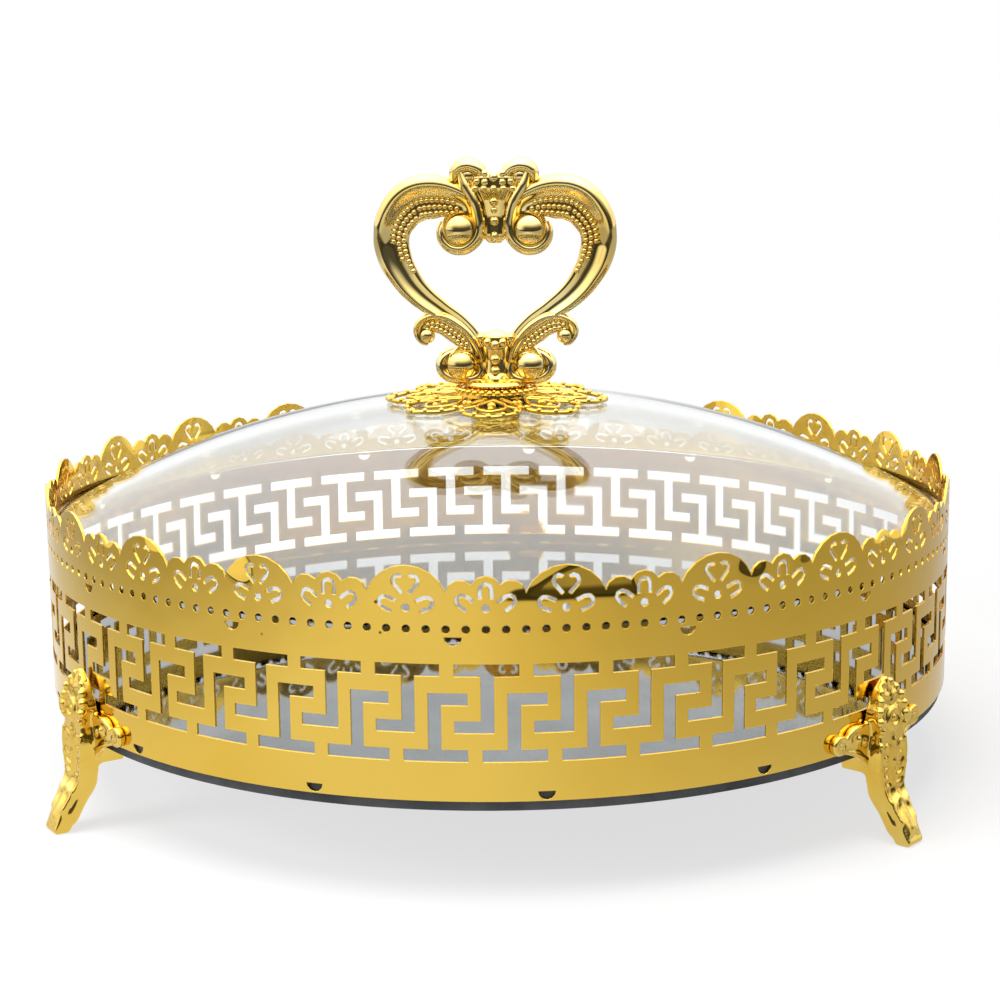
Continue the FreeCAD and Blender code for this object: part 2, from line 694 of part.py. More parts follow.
def bulb(x_share, z_share):
    """A round boss on the end of a scroll, turned about the way through the handle."""
    half = size("bulb_diameter") / 2
    place = heart_point(x_share, z_share)
    corners = [place + Vector(far * half, deep * half, 0) for far, deep in BULB_PROFILE_SHARES]
    face = Part.Face(Part.makePolygon(corners + corners[:1]))
    return face.revolve(place, BACK, 360)


def heart_handle():
    pieces = [scroll(s) for s in (SIDE_SCROLL_SHARES, FOOT_SCROLL_SHARES, TOP_CURL_SHARES)]
    pieces += [bulb(*place) for place in BULB_SHARES]
    pieces += [p.mirror(AXIS, Vector(1, 0, 0)) for p in pieces]
    for low, high in COLUMN_SHARES:
        length = (high - low) * size("heart_height")
        pieces.append(Part.makeCylinder(size("column_diameter") / 2, length, heart_point(0, low)))
    base = heart_point(0, 0)
    pieces.append(Part.makeCylinder(size("collar_diameter") / 2, size("collar_height"), base))
    bore = Part.makeCylinder(value_of(STUD_BORE), size("stud_depth"), base)
    return shaped("heart_handle", pieces[0].fuse(pieces[1:]).cut(bore))


def build():
    washers = [washer("upper_washer", UPPER_WASHER)]
    washers.append(washer("lower_washer", f"({LOWER_WASHER} - {cell('washer_thickness')})"))
    tray = [gallery_band(), base_board(), mirror_plate(), *feet(), foot_screws()]
    lid = [glass_lid(), *washers, ferrule(), stud(), rosette(), heart_handle()]
    doc.recompute()
    return tray + lid


def export(pieces):
    """Checks every object of the document, then writes one file for each piece."""
    faults = [o.Label for o in doc.Objects if {"Invalid", "Error"} & set(o.State)]
    faults += [p.Label for p in pieces if p.Shape.isNull() or not p.Shape.isValid()]
    if faults:
        raise RuntimeError(f"these did not build: {faults}")
    os.makedirs("parts", exist_ok=True)
    for piece in pieces:
        piece.Shape.exportStep(f"parts/{piece.Label}.step")
        box = piece.Shape.BoundBox
        extent = f"{box.XLength:.1f} x {box.YLength:.1f} x {box.ZLength:.1f} mm"
        print(f"{piece.Label}: {len(piece.Shape.Solids)} solid(s), {extent}")


export(build())
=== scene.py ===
# %% [markdown]
# A round buffet dish stands on three cast feet. A pierced gold hoop, the gallery, runs round a mirror floor,
# and a glass dome with a heart-shaped handle closes it. The construction comes packed, as named nodes at
# their true size. This lesson dresses it: it keeps the nodes whose form is right and gives them a finish, and
# models the glass, its nut, the handle, the rosette and the feet again, with rounder and richer forms.

# %% Load the frame
import math

import bpy
from mathutils import Matrix, Vector


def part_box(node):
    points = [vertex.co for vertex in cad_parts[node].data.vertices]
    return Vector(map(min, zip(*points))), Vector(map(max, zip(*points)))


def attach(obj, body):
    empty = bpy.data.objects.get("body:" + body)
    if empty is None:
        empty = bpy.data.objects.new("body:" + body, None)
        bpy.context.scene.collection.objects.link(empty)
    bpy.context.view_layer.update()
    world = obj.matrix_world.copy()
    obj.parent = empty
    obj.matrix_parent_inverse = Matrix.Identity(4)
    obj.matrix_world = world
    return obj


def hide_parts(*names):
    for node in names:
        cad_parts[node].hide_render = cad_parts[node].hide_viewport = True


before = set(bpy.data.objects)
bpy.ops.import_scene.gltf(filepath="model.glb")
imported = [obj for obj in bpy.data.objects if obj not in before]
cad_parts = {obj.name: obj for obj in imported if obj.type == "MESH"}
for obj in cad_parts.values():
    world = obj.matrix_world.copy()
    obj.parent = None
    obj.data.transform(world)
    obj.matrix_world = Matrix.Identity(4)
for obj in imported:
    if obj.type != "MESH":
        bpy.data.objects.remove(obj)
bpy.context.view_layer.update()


# %% [markdown]
# Every size below is in metres, so a millimetre gets a name. The heights that the pieces share are read from
# the frame and not typed again: if the construction changes, the dressing follows it.

# %% Read the sizes that the pieces share
MM = 0.001
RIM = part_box("gallery_band")[1].x
GALLERY_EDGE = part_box("gallery_band")[0].z
GALLERY_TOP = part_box("gallery_band")[1].z
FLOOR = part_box("foot_back")[0].z
LID_LOW, LID_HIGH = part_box("glass_lid")
HANDLE_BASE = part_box("heart_handle")[0].z
print(f"gallery radius {RIM / MM:.1f} mm, floor {FLOOR / MM:.1f} mm, handle from {HANDLE_BASE / MM:.1f} mm")

# %% [markdown]
# Operators act on whatever is selected, so each step starts from an empty selection. These few helpers
# select, join and settle pieces. A settled piece has its place in its mesh and its object at the origin.

# %% Helpers for selecting and joining pieces


def select_only(*pieces):
    if bpy.context.mode != "OBJECT":
        bpy.ops.object.mode_set(mode="OBJECT")
    bpy.ops.object.select_all(action="DESELECT")
    for piece in pieces:
        piece.select_set(True)
    if pieces:
        bpy.context.view_layer.objects.active = pieces[0]


def settle(piece):
    select_only(piece)
    bpy.ops.object.transform_apply(location=True, rotation=True, scale=True)
    return piece


def join(name, pieces):
    select_only(*pieces)
    if len(pieces) > 1:
        bpy.ops.object.join()
    piece = bpy.context.object
    piece.name = piece.data.name = name
    return settle(piece)


def choose(piece, test, kind="VERT"):
    """Enters edit mode with only the vertices or faces selected whose place passes a test."""
    select_only(piece)
    bpy.ops.object.mode_set(mode="EDIT")
    bpy.ops.mesh.select_mode(type=kind)
    bpy.ops.mesh.select_all(action="DESELECT")
    bpy.ops.object.mode_set(mode="OBJECT")
    if kind == "VERT":
        for vertex in piece.data.vertices:
            vertex.select = bool(test(vertex.co))
    else:
        for face in piece.data.polygons:
            face.select = bool(test(face.center))
    bpy.ops.object.mode_set(mode="EDIT")


def choose_all(piece):
    select_only(piece)
    bpy.ops.object.mode_set(mode="EDIT")
    bpy.ops.mesh.select_all(action="SELECT")


# %% [markdown]
# A finished piece has its modifiers applied and is shaded smooth where it is round. It is then handed over:
# it gets its finish and the body that it moves with, and the nodes that it stands for are hidden.

# %% Helpers for finishing pieces


def apply_modifiers(piece):
    select_only(piece)
    for modifier in list(piece.modifiers):
        bpy.ops.object.modifier_apply(modifier=modifier.name)
    return piece


def smooth(piece, degrees):
    select_only(piece)
    bpy.ops.object.shade_smooth_by_angle(angle=math.radians(degrees))
    return piece


def dress(piece, body, slot, material, *nodes):
    """Hands a finished piece to its body, with its finish and the nodes that it stands for."""
    piece.data.materials.clear()
    piece.data.materials.append(material)
    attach(piece, body)
    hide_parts(*nodes)
    triangles = sum(len(face.vertices) - 2 for face in piece.data.polygons)
    print(f"{piece.name}: {triangles} triangles on {body}")


# %% [markdown]
# Shader nodes are wired in code. One helper makes a node, sets its values and links its sockets. The others
# make the few kinds of node that come up again and again, so that a material reads as a short recipe.

# %% Helpers for wiring materials


def node(tree, kind, inputs=None, **settings):
    made = tree.nodes.new(kind)
    for name, value in settings.items():
        setattr(made, name, value)
    for name, value in (inputs or {}).items():
        if isinstance(value, bpy.types.NodeSocket):
            tree.links.new(value, made.inputs[name])
        else:
            made.inputs[name].default_value = value
    return made


def feed(tree, target, **sources):
    """Links sources to the inputs of a node. A name has _ where the input's name has a space."""
    for name, source in sources.items():
        tree.links.new(source, target.inputs[name.replace("_", " ")])


def calculate(tree, operation, *values):
    return node(tree, "ShaderNodeMath", dict(enumerate(values)), operation=operation).outputs["Value"]


def vector_math(tree, operation, *values, result="Vector"):
    return node(tree, "ShaderNodeVectorMath", dict(enumerate(values)), operation=operation).outputs[result]


def noise(tree, place, scale, detail):
    values = {"Vector": place, "Scale": scale, "Detail": detail}
    return node(tree, "ShaderNodeTexNoise", values).outputs["Fac"]


def map_range(tree, value, source=(0.0, 1.0), target=(0.0, 1.0), easing="LINEAR"):
    """A value spread from one range over another."""
    ends = {"From Min": source[0], "From Max": source[1], "To Min": target[0], "To Max": target[1]}
    made = node(tree, "ShaderNodeMapRange", {"Value": value, **ends}, interpolation_type=easing)
    return made.outputs["Result"]


def grey(tone):
    return (tone, tone, tone, 1)


def colour_ramp(tree, factor, stops):
    """A ramp through (position, colour) stops."""
    ramp = node(tree, "ShaderNodeValToRGB", {"Fac": factor})
    for _ in stops[2:]:
        ramp.color_ramp.elements.new(1.0)
    for element, (position, colour) in zip(ramp.color_ramp.elements, stops):
        element.position = position
        element.color = colour
    return ramp.outputs["Color"]


def mix_colours(tree, factor, first, second):
    values = {"Fac": factor, "Color1": first, "Color2": second}
    return node(tree, "ShaderNodeMixRGB", values).outputs["Color"]


def mix_shaders(tree, factor, first, second):
    return node(tree, "ShaderNodeMixShader", {0: factor, 1: first, 2: second}).outputs["Shader"]


# %% [markdown]
# An effect that several materials share is a node group with named sockets. Every material of the dish starts
# from one Principled shader, and its patterns read the place on the piece, so that they move with it.

# %% Helpers for groups and materials


def shader_group(name, inputs, outputs):
    """A node group with named sockets, and its input and output nodes."""
    group = bpy.data.node_groups.new(name, "ShaderNodeTree")
    for in_out, sockets in (("INPUT", inputs), ("OUTPUT", outputs)):
        for socket, kind in sockets.items():
            group.interface.new_socket(name=socket, in_out=in_out, socket_type=f"NodeSocket{kind}")
    return group, node(group, "NodeGroupInput"), node(group, "NodeGroupOutput")


def new_material(name, **principled):
    """A material with a Principled shader whose plain values are set on its own sockets."""
    material = bpy.data.materials.new(name)
    material.use_nodes = True
    tree = material.node_tree
    tree.nodes.clear()
    shader = node(tree, "ShaderNodeBsdfPrincipled")
    for socket, value in principled.items():
        shader.inputs[socket.replace("_", " ")].default_value = value
    out = node(tree, "ShaderNodeOutputMaterial", {"Surface": shader.outputs["BSDF"]})
    place = node(tree, "ShaderNodeTexCoord").outputs["Object"]
    return material, tree, shader, out, place


# %% [markdown]
# Gold plate is never one colour. Over a hand's breadth it drifts between a pale and a warm yellow, polishing
# leaves a fine haze in the gloss, and a few specks of the base metal show through. One group holds all of
# that, and the sheet and the castings use it in their own colours and at their own scale.

# %% The tone of gold plate
SHEET_GOLD = ((0.84, 0.57, 0.105, 1), (0.79, 0.50, 0.065, 1))
WARM_GOLD = ((0.84, 0.60, 0.14, 1), (0.78, 0.50, 0.07, 1))
# Painted highlight: the handle's gold is made paler than the other castings', so that the light on it goes
# white.
PALE_HIGHLIGHT_GOLD = ((0.93, 0.76, 0.34, 1), (0.88, 0.63, 0.18, 1))
DRIFT_RANGE = (0.36, 0.66)
POLISH = (0.05, 0.15)
SPECK_BROWN = (0.20, 0.11, 0.03, 1)
SPECK_EDGE = (0.03, 0.06)
SPECK_CHOICE = 0.78
SPECK_ROUGHNESS = 0.4


def gold_tone_group():
    group, given, out = shader_group(
        "Gold tone",
        {"Vector": "Vector", "Pale": "Color", "Warm": "Color",
         "Drift Scale": "Float", "Haze Scale": "Float", "Speck Scale": "Float"},
        {"Color": "Color", "Roughness": "Float", "Height": "Float"},
    )
    given = given.outputs
    drift = noise(group, given["Vector"], given["Drift Scale"], detail=3.0)
    haze = noise(group, given["Vector"], given["Haze Scale"], detail=4.0)
    spots = {"Vector": given["Vector"], "Scale": given["Speck Scale"]}
    cells = node(group, "ShaderNodeTexVoronoi", spots).outputs
    near = map_range(group, cells["Distance"], SPECK_EDGE, (1.0, 0.0))
    speck = calculate(group, "MULTIPLY", near, calculate(group, "GREATER_THAN", cells["Color"], SPECK_CHOICE))
    tone = mix_colours(group, map_range(group, drift, DRIFT_RANGE), given["Pale"], given["Warm"])
    gloss = map_range(group, haze, target=POLISH)
    feed(group, out, Color=mix_colours(group, speck, tone, SPECK_BROWN), Height=haze,
         Roughness=calculate(group, "MULTIPLY_ADD", speck, SPECK_ROUGHNESS, gloss))
    return group


GOLD_TONE = gold_tone_group()


def gold_tone(tree, place, gold, drift, haze, speck):
    """The outputs of the gold group, with a finish's own colours and scales."""
    values = {"Vector": place, "Pale": gold[0], "Warm": gold[1],
              "Drift Scale": drift, "Haze Scale": haze, "Speck Scale": speck}
    return node(tree, "ShaderNodeGroup", values, node_tree=GOLD_TONE).outputs


print("group:", GOLD_TONE.name)

# %% [markdown]
# The gallery is rolled from flat sheet, so its two broad faces are true cylinders. Its mesh is made of narrow
# flat strips, and polished metal would show each of them. The normal of a cylinder is known everywhere, it
# points straight out from the axis, so this group gives broad faces that normal and leaves the cut edges
# alone. It also lets the sheet waver a little, as thin sheet does, and leans a few lace scallops back, where
# hands have bent them.

# %% The roll of the sheet
LACE = (GALLERY_TOP - 11 * MM, GALLERY_TOP - 6 * MM)
LEAN = 0.30
BENT_SCALE = 38.0
BENT_RANGE = (0.56, 0.62)
BROAD_FACE = 0.97
WAVER_SCALE = 42.0


def rolled_sheet_group():
    group, given, out = shader_group("Rolled sheet", {"Vector": "Vector", "Face Normal": "Vector"},
                                     {"Normal": "Vector", "Height": "Float"})
    place, face = given.outputs["Vector"], given.outputs["Face Normal"]
    outward = vector_math(group, "NORMALIZE", vector_math(group, "MULTIPLY", place, (1, 1, 0)))
    facing = vector_math(group, "DOT_PRODUCT", outward, face, result="Value")
    turned = vector_math(group, "MULTIPLY", outward, calculate(group, "SIGN", facing))
    height = node(group, "ShaderNodeSeparateXYZ", {0: place}).outputs["Z"]
    bent = map_range(group, noise(group, place, BENT_SCALE, detail=1.0), BENT_RANGE, (0.0, LEAN))
    lean = calculate(group, "MULTIPLY", map_range(group, height, LACE), bent)
    upward = node(group, "ShaderNodeCombineXYZ", {"Z": lean}).outputs["Vector"]
    leaning = vector_math(group, "NORMALIZE", vector_math(group, "ADD", turned, upward))
    broad = calculate(group, "GREATER_THAN", calculate(group, "ABSOLUTE", facing), BROAD_FACE)
    chosen = node(group, "ShaderNodeMix", {0: broad, 4: face, 5: leaning}, data_type="VECTOR").outputs[1]
    feed(group, out, Normal=chosen, Height=noise(group, place, WAVER_SCALE, detail=2.0))
    return group


ROLLED_SHEET = rolled_sheet_group()
print("group:", ROLLED_SHEET.name)

# %% [markdown]
# The gallery's finish puts both groups together: the roll gives the normal, a bump lets the sheet waver, and
# the gold gives tone and gloss. Polishing wears cut edges round. Bevelling every small opening would cost
# many faces, so a Bevel node rounds the look of the edges instead.

# %% The sheet's finish
WAVER_STRENGTH = 0.5
WAVER_DEPTH = 0.6 * MM
WORN_EDGE = 0.4 * MM


def gilt_sheet():
    material, tree, shader, _, place = new_material("gilt_sheet", Metallic=1.0)
    values = {"Vector": place, "Face Normal": node(tree, "ShaderNodeNewGeometry").outputs["True Normal"]}
    rolled = node(tree, "ShaderNodeGroup", values, node_tree=ROLLED_SHEET).outputs
    tone = gold_tone(tree, place, SHEET_GOLD, drift=9.0, haze=160.0, speck=95.0)
    waver = node(tree, "ShaderNodeBump", {"Height": rolled["Height"], "Normal": rolled["Normal"],
                                          "Strength": WAVER_STRENGTH, "Distance": WAVER_DEPTH})
    worn = node(tree, "ShaderNodeBevel", {"Radius": WORN_EDGE, "Normal": waver.outputs["Normal"]}, samples=4)
    feed(tree, shader, Base_Color=tone["Color"], Roughness=tone["Roughness"], Normal=worn.outputs["Normal"])
    return material


GILT_SHEET = gilt_sheet()
print("material:", GILT_SHEET.name)

# %% [markdown]
# The handle, the rosette, the nut and the feet are cast in a soft metal and plated. A casting has a skin of
# small soft dents and a finer haze, so its bump is shallow and its tone drifts faster than the sheet's. The
# handle's gold is made paler than the others', a painted highlight, so that the light on it goes white.

# %% The castings' finish
SKIN_STRENGTH = 0.03
SKIN_DEPTH = 0.12 * MM


def gilt_casting(name, gold):
    material, tree, shader, _, place = new_material(name, Metallic=1.0)
    tone = gold_tone(tree, place, gold, drift=40.0, haze=300.0, speck=160.0)
    skin = node(tree, "ShaderNodeBump",
                {"Height": tone["Height"], "Strength": SKIN_STRENGTH, "Distance": SKIN_DEPTH})
    feed(tree, shader, Base_Color=tone["Color"], Roughness=tone["Roughness"], Normal=skin.outputs["Normal"])
    return material


# The handle's finish uses the paler gold, a painted highlight.
GILT_CASTING = gilt_casting("gilt_casting", PALE_HIGHLIGHT_GOLD)
WARM_CASTING = gilt_casting("warm_casting", WARM_GOLD)
print("materials:", GILT_CASTING.name, WARM_CASTING.name)

# %% [markdown]
# The glass is clear, with a breath of green that only its rim is deep enough to show and with faint touches
# in its gloss. A solid shader would throw a dark shadow into the dish, so rays from the lamps meet a clear
# shader instead and pass.

# %% Clear glass
GLASS_TINT = (0.97, 0.985, 0.98, 1)
GLASS_GREEN = (0.62, 0.80, 0.72, 1)
GREEN_DENSITY = 7.0
LAMP_TINT = (0.9, 0.92, 0.91, 1)
TOUCH_RANGE = (0.5, 0.8)
TOUCH_HAZE = (0.0, 0.05)


def clear_glass():
    material, tree, shader, out, place = new_material("clear_glass", Base_Color=GLASS_TINT, IOR=1.5,
                                                      Transmission_Weight=1.0)
    touch = noise(tree, place, scale=14.0, detail=4.0)
    feed(tree, shader, Roughness=map_range(tree, touch, TOUCH_RANGE, TOUCH_HAZE))
    depth = node(tree, "ShaderNodeVolumeAbsorption", {"Color": GLASS_GREEN, "Density": GREEN_DENSITY})
    shadow = node(tree, "ShaderNodeLightPath").outputs["Is Shadow Ray"]
    clear = node(tree, "ShaderNodeBsdfTransparent", {"Color": LAMP_TINT}).outputs["BSDF"]
    passing = mix_shaders(tree, shadow, shader.outputs["BSDF"], clear)
    feed(tree, out, Surface=passing, Volume=depth.outputs["Volume"])
    return material


CLEAR_GLASS = clear_glass()
print("material:", CLEAR_GLASS.name)

# %% [markdown]
# The other finishes are plainer. The mirror's silver is painted dark, a painted shade for the dark things
# that it reflects, and it has faint smudges in its gloss; the washers are soft sheet, and the stud and the
# screws are bright
# steel: in each of them, tone and gloss follow one noise. The board is painted and dusty, and its fibres show
# through the paint as a fine bump. The nodes that keep their form get their finish here.

# %% Mirror, board, washers and steel
# Painted shade: the mirror's silver is dark, standing in for the dark things that it reflects.
SILVER_PAINTED_DARK = [(0.3, (0.13, 0.14, 0.15, 1)), (0.7, (0.20, 0.21, 0.22, 1))]
SLATE = [(0.35, (0.018, 0.021, 0.024, 1)), (0.75, (0.07, 0.075, 0.08, 1))]
SOFT_BLACK = [(0.3, grey(0.02)), (0.7, grey(0.05))]
STEEL_GREY = [(0.3, grey(0.5)), (0.7, (0.66, 0.66, 0.67, 1))]
FIBRE_STRENGTH = 0.5
FIBRE_DEPTH = 0.15 * MM
FIBRE_GLOSS = (0.45, 0.8)


def plain_finish(name, tones, gloss, scale, detail, **principled):
    material, tree, shader, _, place = new_material(name, **principled)
    drift = noise(tree, place, scale, detail)
    feed(tree, shader, Base_Color=colour_ramp(tree, drift, tones),
         Roughness=map_range(tree, drift, target=gloss))
    return material


def painted_board():
    material, tree, shader, _, place = new_material("painted_board")
    fibre = noise(tree, place, scale=700.0, detail=4.0)
    dust = noise(tree, place, scale=60.0, detail=5.0)
    bump = node(tree, "ShaderNodeBump",
                {"Height": fibre, "Strength": FIBRE_STRENGTH, "Distance": FIBRE_DEPTH})
    feed(tree, shader, Base_Color=colour_ramp(tree, dust, SLATE), Normal=bump.outputs["Normal"],
         Roughness=map_range(tree, fibre, target=FIBRE_GLOSS))
    return material


STEEL = plain_finish("bright_steel", STEEL_GREY, gloss=(0.2, 0.4), scale=900.0, detail=3.0, Metallic=1.0)
WASHER = plain_finish("soft_washer", SOFT_BLACK, gloss=(0.5, 0.75), scale=400.0, detail=3.0)
BOARD = painted_board()
MIRROR = plain_finish("silvered_mirror", SILVER_PAINTED_DARK, gloss=(0.0, 0.07), scale=30.0, detail=5.0, Metallic=1.0)
NODE_FINISHES = {
    "gallery_band": GILT_SHEET,
    "base_board": BOARD,
    "mirror_plate": MIRROR,
    "foot_screws": STEEL,
    "handle_stud": STEEL,
    "upper_washer": WASHER,
    "lower_washer": WASHER,
}
for name, finish in NODE_FINISHES.items():
    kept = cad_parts[name]
    kept.data.materials.clear()
    kept.data.materials.append(finish)
print("kept nodes with a finish:", ", ".join(NODE_FINISHES))

# %% [markdown]
# The lid is a cap of a large sphere, blown or slumped in one wall. A sphere is cut off at the rim, opened at
# the crown for the stud, and given its wall inwards. A small bevel stands for the ground edge.

# %% Glass dome
GLASS_WALL = 4.4 * MM
GROUND_EDGE = 4.1 * MM
GROUND_BEVEL = 0.6 * MM
DOME_SEGMENTS = 192
DOME_RINGS = 300
POLE_REACH = 1 * MM
TURNED_ANGLE = 40


def dome_sphere():
    """Radius and centre height of the sphere through the crown and the rim of the glass."""
    cap = LID_HIGH.z - (LID_LOW.z + GROUND_EDGE)
    radius = (LID_HIGH.x**2 + cap**2) / (2 * cap)
    return radius, LID_HIGH.z - radius


SPHERE_RADIUS, SPHERE_CENTRE = dome_sphere()


def dome_height(distance):
    """Height of the outer face of the glass at a distance from the axis."""
    return SPHERE_CENTRE + math.sqrt(SPHERE_RADIUS**2 - distance**2)


def glass_dome():
    select_only()
    bpy.ops.mesh.primitive_uv_sphere_add(segments=DOME_SEGMENTS, ring_count=DOME_RINGS, radius=SPHERE_RADIUS,
                                         location=(0, 0, SPHERE_CENTRE))
    dome = settle(bpy.context.object)
    dome.name = "glass_dome"
    choose_all(dome)
    bpy.ops.mesh.bisect(plane_co=(0, 0, LID_LOW.z + GROUND_EDGE), plane_no=(0, 0, 1), clear_inner=True)
    choose(dome, lambda place: math.hypot(place.x, place.y) < POLE_REACH)
    bpy.ops.mesh.delete(type="VERT")
    wall = dome.modifiers.new("wall", "SOLIDIFY")
    wall.thickness = GLASS_WALL
    wall.offset = -1
    wall.use_even_offset = True
    ground = dome.modifiers.new("ground_edge", "BEVEL")
    ground.width = GROUND_BEVEL
    ground.segments = 2
    ground.limit_method = "ANGLE"
    apply_modifiers(dome)
    return smooth(dome, TURNED_ANGLE)


dress(glass_dome(), "lid", "glass", CLEAR_GLASS, "glass_lid")

# %% [markdown]
# Under the crown a capped nut draws the stud down. It is turned from bar, so it starts as a cylinder: bisect
# cuts rings into it, the middle ring of each three is drawn in to a shallow groove, the end is inset and
# dished, and a bevel rounds the sharp edges.

# %% Ferrule nut
FERRULE_SIDES = 72
GROOVE_SHARES = (0.30, 0.62)
GROOVE_WIDTH = 0.5 * MM
GROOVE_SHARE = 0.93
CAP_FACE = 0.1 * MM
CAP_INSET = 1.8 * MM
CAP_DISH = 0.7 * MM
TURNED_EDGE = 0.4 * MM


def ferrule_nut():
    low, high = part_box("ferrule_nut")
    select_only()
    bpy.ops.mesh.primitive_cylinder_add(vertices=FERRULE_SIDES, radius=high.x, depth=high.z - low.z,
                                        location=(0, 0, (low.z + high.z) / 2))
    nut = settle(bpy.context.object)
    nut.name = "turned_ferrule"
    for share in GROOVE_SHARES:
        height = low.z + share * (high.z - low.z)
        for side in (-GROOVE_WIDTH, 0, GROOVE_WIDTH):
            choose_all(nut)
            bpy.ops.mesh.bisect(plane_co=(0, 0, height + side), plane_no=(0, 0, 1))
        choose(nut, lambda place: abs(place.z - height) < GROOVE_WIDTH / 2)
        bpy.ops.transform.resize(value=(GROOVE_SHARE, GROOVE_SHARE, 1), center_override=(0, 0, height))
    choose(nut, lambda place: place.z < low.z + CAP_FACE, "FACE")
    bpy.ops.mesh.inset(thickness=CAP_INSET)
    bpy.ops.transform.translate(value=(0, 0, CAP_DISH))
    edge = nut.modifiers.new("turned_edge", "BEVEL")
    edge.width = TURNED_EDGE
    edge.segments = 3
    apply_modifiers(nut)
    return smooth(nut, TURNED_ANGLE)


dress(ferrule_nut(), "lid", "gilt_casting", WARM_CASTING, "ferrule_nut")

# %% [markdown]
# Cast scrolls are rolls that swell and taper. A curve is the natural tool: listed stations give its way
# and its half breadth, a section gives its shape, and converting it makes a clean mesh. Flat scrolls are
# drawn in the upright plane through the axis, as (sideways, up, half breadth) in millimetres. Wires go
# anywhere in space.

# %% Helpers for rolls and wires
SEAM = 0.001 * MM
SECTION_STEPS = 3
ROLL_STEPS = 8
WIRE_STEPS = 6


def path_through(knots, radii, steps):
    """A smooth curve through knots, with a breadth at each."""
    select_only()
    bpy.ops.curve.primitive_bezier_curve_add()
    path = bpy.context.object
    path.data.resolution_u = steps
    path.data.use_fill_caps = True
    points = path.data.splines[0].bezier_points
    points.add(len(knots) - len(points))
    for point, knot, radius in zip(points, knots, radii):
        point.co = knot
        point.radius = radius
        point.handle_left_type = point.handle_right_type = "AUTO"
    return path


def as_mesh(path):
    select_only(path)
    bpy.ops.object.convert(target="MESH")
    made = settle(bpy.context.object)
    choose_all(made)
    bpy.ops.mesh.remove_doubles(threshold=SEAM)
    bpy.ops.mesh.normals_make_consistent(inside=False)
    select_only(made)
    return made


def section_curve(name, corners):
    """A closed, smooth section, one millimetre to the unit, for a roll to follow."""
    knots = [(across * MM, deep * MM, 0) for across, deep in corners]
    section = path_through(knots, [1] * len(corners), SECTION_STEPS)
    section.name = name
    section.data.splines[0].use_cyclic_u = True
    return section


def roll(stations, section):
    """A tapering roll through stations of (sideways, up, half breadth), in the upright plane y = 0."""
    knots = [(x * MM, up * MM, 0) for x, up, _ in stations]
    path = path_through(knots, [half for _, _, half in stations], ROLL_STEPS)
    path.data.dimensions = "2D"
    path.data.bevel_mode = "OBJECT"
    path.data.bevel_object = section
    path.rotation_euler.x = math.pi / 2
    return as_mesh(path)


def wire(stations, sides=2):
    """A round wire through stations of (x, y, z, radius)."""
    path = path_through([place[:3] for place in stations], [place[3] for place in stations], WIRE_STEPS)
    path.data.dimensions = "3D"
    path.data.bevel_depth = 1
    path.data.bevel_resolution = sides
    return as_mesh(path)


# %% [markdown]
# What repeats is modelled once and copied, each copy with its own mesh: petals and feet are turned about the
# axis, and every pearl is a copy of one small bead. What is the same left and right is modelled as a half.

# %% Helpers for copies, beads and halves
BEAD_LEVEL = 2


def copy_of(piece):
    """A copy with its own mesh."""
    twin = piece.copy()
    twin.data = piece.data.copy()
    bpy.context.scene.collection.objects.link(twin)
    return twin


def turned_copy(piece, angle):
    """A copy turned about the upright axis."""
    twin = copy_of(piece)
    twin.rotation_euler.z = angle
    return settle(twin)


def beads(spots):
    """Small pearls at (x, y, z, radius), each a copy of one bead, joined."""
    select_only()
    bpy.ops.mesh.primitive_ico_sphere_add(subdivisions=BEAD_LEVEL, radius=1)
    bead = bpy.context.object
    pearls = []
    for x, y, z, radius in spots:
        pearl = copy_of(bead)
        pearl.location = (x, y, z)
        pearl.scale = (radius, radius, radius)
        pearls.append(pearl)
    bpy.data.objects.remove(bead)
    return join("pearls", pearls)


def mirrored(piece):
    """Adds the reflection of a piece in the upright plane x = 0."""
    flip = piece.modifiers.new("other_half", "MIRROR")
    flip.use_mirror_merge = False
    return apply_modifiers(piece)


def on_circle(number):
    return [(math.cos(2 * math.pi * i / number), math.sin(2 * math.pi * i / number)) for i in range(number)]


# %% [markdown]
# Four sections serve all rolls. Three are a circle, as it is, deepened or flattened. The fourth is that of
# the big scrolls: a thick bead on the outer side, and beside it a channel for the pearls.

# %% Sections of the rolls
DEEP_SHARE = 1.9
FLAT_SHARE = 0.45
SECTION_CORNERS = on_circle(8)
CHANNEL_HALF = [(-0.92, 0.40), (-0.68, 0.64), (-0.42, 0.58), (-0.18, 0.38), (0.10, 0.24), (0.5, 0.24),
                (0.92, 0.22)]
CHANNEL = [(-1, 0), *CHANNEL_HALF, (1, 0), *((x, -y) for x, y in reversed(CHANNEL_HALF))]
ROUND_SECTION = section_curve("round_section", SECTION_CORNERS)
DEEP_SECTION = section_curve("deep_section", [(x, DEEP_SHARE * y) for x, y in SECTION_CORNERS])
FLAT_SECTION = section_curve("flat_section", [(x, FLAT_SHARE * y) for x, y in SECTION_CORNERS])
CHANNEL_SECTION = section_curve("channel_section", CHANNEL)
SECTIONS = (ROUND_SECTION, DEEP_SECTION, FLAT_SECTION, CHANNEL_SECTION)
print("sections for rolls:", ", ".join(section.name for section in SECTIONS))

# %% [markdown]
# The handle is a heart of two mirrored scrolls. Each has a thick outer roll and, inside it, a channel filled
# with rows of pearls. S-shaped ribs come down from the top curls and wrap round a ball, and a second pair of
# scrolls forms the foot. First come the stations of one half, measured up from the handle's base. A middle
# pearl is (sideways, up, radius, depth in front of the plane), and a row of pearls is its share of the half
# breadth inwards and the shares of the way where it starts and ends.

